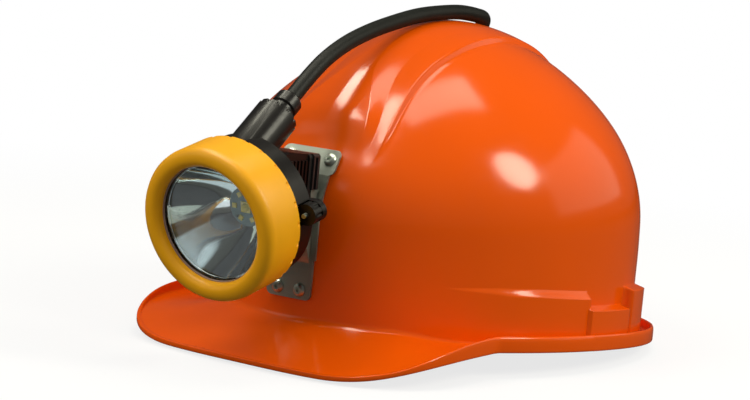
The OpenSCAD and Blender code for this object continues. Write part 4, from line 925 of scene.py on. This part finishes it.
def smooth_cad(obj):
    """Shades a CAD node smooth between its sharp edges, whose faces come apart at their borders."""
    mesh = obj.data
    co = np.empty(len(mesh.vertices) * 3, np.float32)
    mesh.vertices.foreach_get("co", co)
    keys = [tuple(v) for v in np.round(co.reshape(-1, 3) * PLACES_PER_METRE).astype(np.int64)]
    normals = {}
    for face in mesh.polygons:
        for a, b in face.edge_keys:
            normals.setdefault(tuple(sorted((keys[a], keys[b]))), []).append(face.normal.copy())
    limit = math.cos(math.radians(SHARP_ANGLE))
    if mesh.attributes.get("custom_normal"):
        mesh.attributes.remove(mesh.attributes["custom_normal"])
    mesh.shade_smooth()
    for edge in mesh.edges:
        found = normals[tuple(sorted((keys[edge.vertices[0]], keys[edge.vertices[1]])))]
        edge.use_edge_sharp = len(found) != 2 or found[0].dot(found[1]) < limit
    weld = obj.modifiers.new("weld", "WELD")
    weld.merge_threshold = WELD_GAP


def node_finishes(c):
    """Pairs of a material and the CAD nodes that it covers."""
    black, steel = tuple(c.black), tuple(c.steel)
    return (
        (moulded("black_gloss", black, 0.34, scale=500.0, distance=0.00003, spread=0.06, coat=0.05,
                 specular=0.3),
         ("lamp_housing", "gland_ring", "strain_relief", "switch_knob", "ratchet_knob")),
        (moulded("black_satin", black, 0.48, scale=1100.0, distance=0.00008, spread=0.1),
         ("back_plate", "cable_clip", "ratchet_case", "headband", "battery_gland", "gland_nut",
          "battery_case", "battery_cover")),
        (moulded("rubber", RUBBER, 0.7, spread=0.1), ("boss_seal", "cover_gasket")),
        (moulded("gasket_brown", GASKET, 0.5, distance=0.00005, spread=0.1), ("lens_gasket",)),
        (moulded("hook_black", HOOK, 0.35, scale=600.0, distance=0.00003, spread=0.08, coat=0.2),
         ("hook_plate",)),
        (moulded("amber_satin", tuple(c.bezel), 0.36, distance=0.00003, spread=0.05, tint=0.04,
                 specular=0.3),
         ("bezel",)),
        (plated("zinc", steel, 0.44),
         ("lamp_bracket", "belt_loops", "plate_screws", "contact_pin", "knob_clip", "cover_screws",
          "loop_screws")),
        (plated("rivet_steel", scaled(steel, RIVET_SHINE), 0.28, scale=800.0, distance=0.00001),
         ("bracket_rivets", "clip_rivets")),
        (moulded("nylon", tuple(c.webbing), 0.45, scale=700.0, distance=0.00005, spread=0.08),
         ("suspension_keys", "cell_holders")),
        (lens_material(), ("lens",)),
        (reflector_material(), ("reflector",)),
        (moulded("board_grey", BOARD, 0.4, scale=1600.0, distance=0.00002, spread=0.08), ("led_board",)),
        (emitter_material(), ("main_led", "side_leds")),
        (plated("aluminium", ALUMINIUM, 0.35), ("led_holder",)),
        (moulded("circuit_green", CIRCUIT, 0.35, scale=1500.0, distance=0.00002, spread=0.08, coat=0.4),
         ("driver_board", "protection_board")),
        (moulded("cell_wrap", WRAP, 0.28, scale=300.0, distance=0.00004, spread=0.06, coat=0.3),
         ("battery_cells",)),
    )


class CAPLAMP_OT_finishes(bpy.types.Operator):
    """Make the materials and give one to every CAD node that shows"""
    bl_idname = "caplamp.finishes"
    bl_label = "Make the finishes"

    def execute(self, context):
        c = context.scene.caplamp_colours
        shell_material(tuple(c.shell))
        webbing_material(tuple(c.webbing), context.scene.caplamp_soft.weave_pitch)
        foam_material(tuple(c.foam))
        plated("rim_bright", RIM, 0.34, scale=500.0, distance=0.00001, tint=0.04)
        moulded("cable_sheath", tuple(c.sheath), 0.5, scale=700.0, distance=0.00005, spread=0.08,
                specular=0.22)
        done = set()
        for material, names in node_finishes(c):
            for name in names:
                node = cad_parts[name]
                finish(node, material)
                smooth_cad(node)
                done.add(name)
        missing = set(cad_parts) - done - REPLACED
        if missing:
            raise RuntimeError(f"these CAD nodes have no finish: {sorted(missing)}")
        return {"FINISHED"}


# ---------------------------------------------------------------- the cable and the shell

class CAPLAMP_OT_cable(bpy.types.Operator):
    """Build the cable from the lamp over the crown to the battery pack, in three pieces that meet"""
    bl_idname = "caplamp.cable"
    bl_label = "Build the cable"

    def execute(self, context):
        size = context.scene.caplamp_cable
        lead = [BOSS_TOP + BOSS_AXIS * d for d in LEAD_PLACES]
        front = lead + metres(FRONT_ROUTE)
        crown = metres(CROWN_ROUTE)
        coil = coil_points(size)
        coil = [coil[0] - Vector((0, size.diameter, 0))] + coil + [coil[-1] - Vector((size.diameter, 0, 0))]
        tail = metres(TAIL_ROUTE)
        aside, back = Vector((GUIDE, 0, 0)), Vector((0, GUIDE, 0))
        before = lead[0] - BOSS_AXIS * GUIDE
        front_line = spline(front, before, crown[1])
        crown_line = spline(crown, front[-2], crown[-1] + back)
        tail_line = spline(tail, tail[0] + aside, tail[-1] - aside)
        run_line = crown_line + coil[1:]

        obj = cable_mesh("cable_lead", front_line, before, crown_line[1], size)
        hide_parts("cable_front")
        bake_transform(obj)

        obj = cable_mesh("cable_run", run_line, front_line[-2], run_line[-1] - aside, size)
        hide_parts("cable_crown", "cable_coil")
        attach(obj, "helmet")

        obj = cable_mesh("cable_end", tail_line, run_line[-2], tail_line[-1] - aside, size)
        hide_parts("cable_tail")
        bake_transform(obj)
        return {"FINISHED"}


class CAPLAMP_OT_shell(bpy.types.Operator):
    """Build the moulded helmet shell with its crest, temple ledges, bosses, peak and rain gutter"""
    bl_idname = "caplamp.shell"
    bl_label = "Build the helmet shell"

    def execute(self, context):
        points, faces = ShellForm(context.scene.caplamp_shell).mesh()
        obj = new_object("shell_moulding", points, faces)
        finish(obj, bpy.data.materials["shell_gloss"])
        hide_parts("helmet_shell")
        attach(obj, "helmet")
        return {"FINISHED"}


# ---------------------------------------------------------------- the harness

# The headband that the straps hang from: inner half sizes, wall, lower edge and height.
BAND_HALF = (0.078, 0.096)
BAND_T = 0.0018
BAND_Z = 0.02
BAND_H = 0.03
HARNESS_ANGLE = 50.0
STRAP_CLEAR = 0.0019
STRAP_GAP = 0.0007
STRAP_STEPS = 8
STRAP_ARC_STEPS = 90
STRAP_CORNER = 50
SELVEDGE = 0.0004
KEY_Z = 0.026
RUN_GAP = 0.0003
SEAT = 0.00005
# The crown pad's upper half: shares of its radius and of its height. Then its channels, as shares.
PAD_PROFILE = ((0.0, 1.0), (0.25, 1.0), (0.45, 0.99), (0.62, 0.97), (0.76, 0.93), (0.86, 0.86),
               (0.93, 0.76), (0.975, 0.64), (1.0, 0.5))
PAD_SIDES = 72
CHANNEL_DEPTH = 0.16
CHANNEL_WIDTH = 0.09
# The brow pad: its angles from +X in degrees, its stations and levels, its margin in metres, and then its
# ends, rims and seams as shares.
BROW_FROM, BROW_TO = 215, 325
BROW_STATIONS, BROW_LEVELS = 96, 12
BROW_MARGIN = 0.002
BROW_END = 0.035
BROW_RIM = 0.22
BROW_EDGE, BROW_SWELL = 0.32, 0.68
BROW_TIP, BROW_REST = 0.3, 0.7
SEAMS = 7
SEAM_DEPTH = 0.28
SEAM_SPREAD = 0.004


def strap_radius():
    """Distance from the middle to a strap's inner face, just outside the headband."""
    a, b = BAND_HALF[0] + BAND_T, BAND_HALF[1] + BAND_T
    w = math.radians(HARNESS_ANGLE)
    return a * b / math.hypot(b * math.cos(w), a * math.sin(w)) + STRAP_CLEAR


def strap_rise(size, lift):
    """Height of a strap's arch over the headband."""
    return size.strap_top - size.strap_thickness - lift - (BAND_Z + BAND_H)


def strap_under(size, r, lift):
    """Height of a strap's underside at a distance from its middle."""
    return BAND_Z + BAND_H + strap_rise(size, lift) * math.sqrt(1 - (r / strap_radius()) ** 2)


def strap_line(size, lift):
    """The strap's inner face seen from its side: up from one key, over the head and down to the other."""
    reach, base, rise = strap_radius(), BAND_Z + BAND_H, strap_rise(size, lift)
    line = [(-reach, z) for z in np.linspace(KEY_Z, base, STRAP_STEPS)[:-1]]
    turns = np.linspace(0, math.pi, STRAP_ARC_STEPS)
    line += [(-reach * math.cos(w), base + rise * math.sin(w)) for w in turns]
    return line + [(reach, z) for z in np.linspace(base, KEY_Z, STRAP_STEPS)[1:]]


def strap_section(size):
    """The strap's section with rounded selvedges, as places across and up."""
    t, half = size.strap_thickness, size.strap_width / 2
    flat = (-half + SELVEDGE, -0.6 * half, 0.0, 0.6 * half, half - SELVEDGE)
    return ([(across, 0.0) for across in flat] + [(half, 0.3 * t), (half, 0.7 * t)]
            + [(across, t) for across in reversed(flat)] + [(-half, 0.7 * t), (-half, 0.3 * t)])


def strap_object(name, size, turn, lift):
    """A webbing strap with its length and width as UV coordinates, in metres."""
    line, section = strap_line(size, lift), strap_section(size)
    points, places, run = [], [], 0.0
    for i, (r, z) in enumerate(line):
        a, b = line[max(0, i - 1)], line[min(len(line) - 1, i + 1)]
        d = np.array([b[0] - a[0], b[1] - a[1]])
        n = np.array([-d[1], d[0]]) / np.linalg.norm(d)
        if i:
            run += math.dist(line[i], line[i - 1])
        for across, up in section:
            place = Vector((r + n[0] * up, across, z + n[1] * up))
            points.append(Matrix.Rotation(math.radians(turn), 3, "Z") @ place)
            places.append((run, across))
    mesh = bpy.data.meshes.new(name)
    faces = tube_faces(len(line), len(section)) + end_faces(len(line), len(section))
    mesh.from_pydata([tuple(p) for p in points], [], faces)
    layer = mesh.uv_layers.new(name="along")
    for loop in mesh.loops:
        layer.data[loop.index].uv = places[loop.vertex_index]
    mesh.shade_smooth()
    mesh.set_sharp_from_angle(angle=math.radians(STRAP_CORNER))
    obj = bpy.data.objects.new(name, mesh)
    bpy.context.scene.collection.objects.link(obj)
    return obj


class CAPLAMP_OT_harness(bpy.types.Operator):
    """Build the crown straps and the two pads of the head harness"""
    bl_idname = "caplamp.harness"
    bl_label = "Build the harness"

    def execute(self, context):
        size = context.scene.caplamp_soft
        for name, node, turn, lift in (
                ("strap_upper", "crown_strap_a", HARNESS_ANGLE, 0.0),
                ("strap_lower", "crown_strap_b", 180 - HARNESS_ANGLE, size.strap_thickness + STRAP_GAP)):
            obj = strap_object(name, size, turn, lift)
            finish(obj, bpy.data.materials["webbing"])
            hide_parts(node)
            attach(obj, "helmet")
        self.crown_pad(size)
        self.brow_pad(size)
        return {"FINISHED"}

    def crown_pad(self, size):
        """A round stitched pad with a drawn-in rim and a cross of channels."""
        top = strap_under(size, size.pad_radius, size.strap_thickness + STRAP_GAP) - RUN_GAP
        radius, h = size.pad_radius, size.pad_height
        profile = list(PAD_PROFILE) + [(r, 1 - z) for r, z in reversed(PAD_PROFILE[:-1])]
        points = []
        for r, z in profile:
            for k in range(PAD_SIDES):
                w = 2 * math.pi * k / PAD_SIDES
                channel = CHANNEL_DEPTH * math.exp(-(math.sin(2 * w) * r / CHANNEL_WIDTH) ** 2) * (1 - r)
                channel *= 1 if z > 0.5 else -1
                points.append((radius * r * math.cos(w), radius * r * math.sin(w),
                               top - h + h * (z - channel)))
        obj = new_object("pad_crown", points, tube_faces(len(profile), PAD_SIDES))
        finish(obj, bpy.data.materials["pad_cloth"])
        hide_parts("crown_pad")
        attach(obj, "helmet")

    def brow_pad(self, size):
        """A curved sweatband pad, thick in its middle and drawn in at its seams."""
        t = size.brow_thickness - SEAT
        a, b = BAND_HALF[0] - SEAT, BAND_HALF[1] - SEAT
        low, high = BAND_Z + BROW_MARGIN, BAND_Z + BAND_H - BROW_MARGIN
        n, m = BROW_STATIONS, BROW_LEVELS
        points = []
        for i in range(n + 1):
            u = i / n
            w = math.radians(mix(BROW_FROM, BROW_TO, u))
            end = math.sqrt(clamp01(min(u, 1 - u) / BROW_END))
            seam = 1 - SEAM_DEPTH * math.exp(-((u * SEAMS) % 1 - 0.5) ** 2 / SEAM_SPREAD)
            for k in range(2 * m):
                v = (k % m) / (m - 1)
                z = mix(low, high, v if k < m else 1 - v)
                full = clamp01(min(v, 1 - v) / BROW_RIM) ** 0.5
                depth = t * (BROW_EDGE + BROW_SWELL * full * seam) * (BROW_TIP + BROW_REST * end)
                depth = 0.0 if k < m else depth
                points.append(((a - depth) * math.cos(w), (b - depth) * math.sin(w), z))
        ends = [face[::-1] for face in end_faces(n + 1, 2 * m)]
        obj = new_object("pad_brow", points, tube_faces(n + 1, 2 * m) + ends)
        finish(obj, bpy.data.materials["pad_cloth"])
        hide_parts("brow_pad")
        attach(obj, "helmet")


# ---------------------------------------------------------------- the reflector's rim

# The lamp's front face and its tilt about X in degrees, then the rim's radius, half thickness and depth.
LAMP_FRONT = (0.0, -0.1954, 0.0654)
LAMP_TILT = 104.0
RIM_RADIUS = 0.0262
RIM_HALF = 0.00034
RIM_Z = -0.0087
RIM_STEPS, RIM_SIDES = 144, 12


class CAPLAMP_OT_rim(bpy.types.Operator):
    """Build the bright rolled rim of the reflector, just behind the lens"""
    bl_idname = "caplamp.rim"
    bl_label = "Build the reflector's rim"

    def execute(self, context):
        turn = Matrix.Rotation(math.radians(LAMP_TILT), 4, "X")
        place = Matrix.Translation(Vector(LAMP_FRONT)) @ turn
        points = []
        for i in range(RIM_STEPS):
            w = 2 * math.pi * i / RIM_STEPS
            for k in range(RIM_SIDES):
                v = 2 * math.pi * k / RIM_SIDES
                r, z = RIM_RADIUS + RIM_HALF * math.cos(v), RIM_Z + RIM_HALF * math.sin(v)
                points.append(place @ Vector((r * math.cos(w), r * math.sin(w), z)))
        count = len(points)
        faces = [[p % count for p in face] for face in tube_faces(RIM_STEPS + 1, RIM_SIDES)]
        obj = new_object("reflector_rim", points, faces)
        finish(obj, bpy.data.materials["rim_bright"])
        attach(obj, "lamp")
        return {"FINISHED"}


# ---------------------------------------------------------------- the studio

# The camera's place, then its bearing, its rise and its roll in degrees.
CAMERA_PLACE = (0.595087, -0.986486, 0.206338)
CAMERA_VIEW = (32.682, 7.029, 5.4)
SENSOR = 36.0
CLIP = (0.05, 50.0)

# Each lamp: its name and the setting of its brightness, its bearing from the front and its rise in degrees,
# its distance, width and height in metres, its shape, its roll in degrees, and what it lights: all, gloss
# alone or diffuse surfaces alone.
LAMP_TARGET = Vector((0.0, 0.0, 0.08))
LAMP_COLOUR = (1.0, 0.97, 0.8)
LAMPS = (
    ("side_lamp", "side", 104, 36, 1.4, 0.42, 0.62, "ELLIPSE", 0, "all"),
    ("left_strip", "strips", -55, 63, 1.4, 0.21, 1.17, "RECTANGLE", 72, "gloss"),
    ("front_strip", "strips", -7, 67, 1.4, 0.15, 1.06, "RECTANGLE", 22, "gloss"),
    ("front_lamp", "front", -28, 50, 1.4, 0.5, 0.7, "RECTANGLE", 0, "diffuse"),
    ("top_panel", "top", 144, 81.5, 1.3, 0.34, 0.8, "RECTANGLE", 20, "all"),
    ("side_wall", "wall", 140, 20, 1.9, 1.6, 1.0, "RECTANGLE", 0, "all"),
    ("front_wall", "front_wall", -30, 20, 1.9, 1.8, 0.8, "RECTANGLE", 0, "all"),
)

# The share of the white surround that reflections see, then the floor's colour for lamps and reflections
# and its colour for the camera.
GLOSS_SHARE = 0.06
FLOOR_DIM = (0.11, 0.11, 0.11)
FLOOR_PALE = (0.9, 0.9, 0.9)
FLOOR_Z = -0.0002
FLOOR_RADIUS, FLOOR_SIDES = 6.0, 96
# Distances over which the floor turns fully white, the share that is white before them, and the distances
# between which the near patch that shows white through the lens ends.
FADE = (0.3, 0.8)
FADE_SHARE = 0.78
PATCH = (0.3, 0.36)


def facing(bearing, rise):
    """Direction from the object at a bearing from the front and a rise, both in radians."""
    return Vector((math.sin(bearing) * math.cos(rise), -math.cos(bearing) * math.cos(rise), math.sin(rise)))


def soft_lamp(name, face, bearing, rise, distance, width, height, shape, roll, lights):
    """A soft lamp turned to the helmet's middle, whose face has the given brightness, where 1 is white."""
    data = bpy.data.lights.new(name, "AREA")
    data.shape = shape
    data.color = LAMP_COLOUR
    data.size, data.size_y = width, height
    area = width * height * (math.pi / 4 if shape == "ELLIPSE" else 1)
    data.energy = face * math.pi * area
    obj = bpy.data.objects.new(name, data)
    bpy.context.scene.collection.objects.link(obj)
    obj.visible_diffuse = lights != "gloss"
    obj.visible_glossy = lights != "diffuse"
    place = LAMP_TARGET + facing(math.radians(bearing), math.radians(rise)) * distance
    back = (place - LAMP_TARGET).normalized()
    turn = back.to_track_quat("Z", "Y") @ Matrix.Rotation(math.radians(roll), 3, "Z").to_quaternion()
    obj.matrix_world = Matrix.Translation(place) @ turn.to_matrix().to_4x4()


def backdrop_share(tree, plain, gloss):
    """1 for the camera and through glass, the gloss share in reflections and the plain share elsewhere."""
    path = tree.nodes.new("ShaderNodeLightPath")
    bounced = math_node(tree, "MAXIMUM", path.outputs["Is Glossy Ray"],
                        math_node(tree, "MINIMUM", path.outputs["Glossy Depth"], 1.0))
    direct = math_node(tree, "SUBTRACT", path.outputs["Is Transmission Ray"], bounced, clamp=True)
    seen = math_node(tree, "MAXIMUM", path.outputs["Is Camera Ray"], direct)
    reflected = math_node(tree, "MULTIPLY_ADD", bounced, gloss - plain)
    reflected.node.inputs[2].default_value = plain
    value = tree.nodes.new("ShaderNodeMix")
    value.data_type = "FLOAT"
    tree.links.new(seen, value.inputs["Factor"])
    tree.links.new(reflected, value.inputs["A"])
    value.inputs["B"].default_value = 1.0
    return value.outputs["Result"]


class CAPLAMP_OT_studio(bpy.types.Operator):
    """Set the camera, the pale floor, the plain surround and the soft lights"""
    bl_idname = "caplamp.studio"
    bl_label = "Set the studio"

    def execute(self, context):
        scene, size = context.scene, context.scene.caplamp_studio
        self.camera(scene, size.focal)
        for name, setting, *rest in LAMPS:
            soft_lamp(name, getattr(size, setting), *rest)
        self.surround(scene, size.fill)
        self.floor()
        scene.view_settings.view_transform = "Standard"
        return {"FINISHED"}

    def camera(self, scene, focal):
        """The camera, from its place, its direction and its roll."""
        az, el, roll = (math.radians(v) for v in CAMERA_VIEW)
        level = Vector((math.cos(az), math.sin(az), 0))
        upright = Vector((-math.sin(az) * math.sin(el), math.cos(az) * math.sin(el), math.cos(el)))
        right = math.cos(roll) * level + math.sin(roll) * upright
        up = math.cos(roll) * upright - math.sin(roll) * level
        data = bpy.data.cameras.new("camera")
        data.lens, data.sensor_width, data.sensor_fit = focal, SENSOR, "HORIZONTAL"
        data.clip_start, data.clip_end = CLIP
        camera = bpy.data.objects.new("camera", data)
        scene.collection.objects.link(camera)
        turn = Matrix((right, up, facing(az, el))).transposed().to_4x4()
        camera.matrix_world = Matrix.Translation(CAMERA_PLACE) @ turn
        scene.camera = camera

    def surround(self, scene, strength):
        """Dim light all round that is white where the camera looks at it."""
        world = bpy.data.worlds.new("surround")
        world.use_nodes = True
        scene.world = world
        tree = world.node_tree
        tree.nodes.clear()
        light = tree.nodes.new("ShaderNodeBackground")
        light.inputs["Color"].default_value = (1, 1, 1, 1)
        tree.links.new(backdrop_share(tree, strength, GLOSS_SHARE), light.inputs["Strength"])
        out = tree.nodes.new("ShaderNodeOutputWorld")
        tree.links.new(light.outputs[0], out.inputs["Surface"])

    def floor(self):
        """A round floor that fades to white and keeps a soft shadow.

        It is dim to lamps and reflections, but white near the helmet to rays that leave through the lens."""
        turns = [2 * math.pi * k / FLOOR_SIDES for k in range(FLOOR_SIDES)]
        points = [(0.0, 0.0, FLOOR_Z)]
        points += [(FLOOR_RADIUS * math.cos(w), FLOOR_RADIUS * math.sin(w), FLOOR_Z) for w in turns]
        faces = [[0, k + 1, (k + 1) % FLOOR_SIDES + 1] for k in range(FLOOR_SIDES)]
        obj = new_object("floor", points, faces, smooth=False)
        m = Shader("floor_white", Roughness=0.9, Specular_IOR_Level=0.0)
        tree = m.tree
        seen = backdrop_share(tree, 0.0, 0.0)
        m.colours(seen, FLOOR_DIM, FLOOR_PALE)
        away = tree.nodes.new("ShaderNodeVectorMath")
        away.operation = "LENGTH"
        tree.links.new(m.coordinates(), away.inputs[0])
        share = remap(tree, away.outputs["Value"], *FADE, FADE_SHARE, 1.0, smooth=True)
        path = tree.nodes.new("ShaderNodeLightPath")
        glass = math_node(tree, "SUBTRACT", path.outputs["Is Transmission Ray"], seen, clamp=True)
        near = remap(tree, away.outputs["Value"], *PATCH, 1.0, 0.0, smooth=True)
        white = math_node(tree, "ADD", math_node(tree, "MULTIPLY", seen, share),
                          math_node(tree, "MULTIPLY", glass, near))
        glow = tree.nodes.new("ShaderNodeEmission")
        glow.inputs["Color"].default_value = (1, 1, 1, 1)
        m.surface(white, glow.outputs[0])
        finish(obj, m.material)


# ---------------------------------------------------------------- the add-on

class CAPLAMP_PT_panel(bpy.types.Panel):
    """Sizes, colours and the steps that build the cap lamp"""
    bl_label = "Cap lamp"
    bl_idname = "CAPLAMP_PT_panel"
    bl_space_type = "VIEW_3D"
    bl_region_type = "UI"
    bl_category = "Cap lamp"

    def draw(self, context):
        layout = self.layout
        for step in STEPS:
            layout.operator(step.bl_idname)
        for title, name, kind in GROUPS:
            box = layout.box()
            box.label(text=title)
            for key in kind.__annotations__:
                box.prop(getattr(context.scene, name), key)


STEPS = (CAPLAMP_OT_finishes, CAPLAMP_OT_cable, CAPLAMP_OT_shell, CAPLAMP_OT_harness, CAPLAMP_OT_rim,
         CAPLAMP_OT_studio)
GROUPS = (("Shell", "caplamp_shell", ShellSizes), ("Cable", "caplamp_cable", CableSizes),
          ("Harness", "caplamp_soft", SoftSizes), ("Colours", "caplamp_colours", Colours),
          ("Studio", "caplamp_studio", StudioSizes))


def register():
    for _, _, kind in GROUPS:
        bpy.utils.register_class(kind)
    for kind in STEPS + (CAPLAMP_PT_panel,):
        bpy.utils.register_class(kind)
    for _, name, kind in GROUPS:
        setattr(bpy.types.Scene, name, PointerProperty(type=kind))


def unregister():
    for _, name, _ in GROUPS:
        delattr(bpy.types.Scene, name)
    for kind in reversed(STEPS + (CAPLAMP_PT_panel,)):
        bpy.utils.unregister_class(kind)
    for _, _, kind in reversed(GROUPS):
        bpy.utils.unregister_class(kind)


def main():
    register()
    bpy.ops.caplamp.finishes()
    bpy.ops.caplamp.cable()
    bpy.ops.caplamp.shell()
    bpy.ops.caplamp.harness()
    bpy.ops.caplamp.rim()
    bpy.ops.caplamp.studio()


if __name__ == "__main__":
    main()
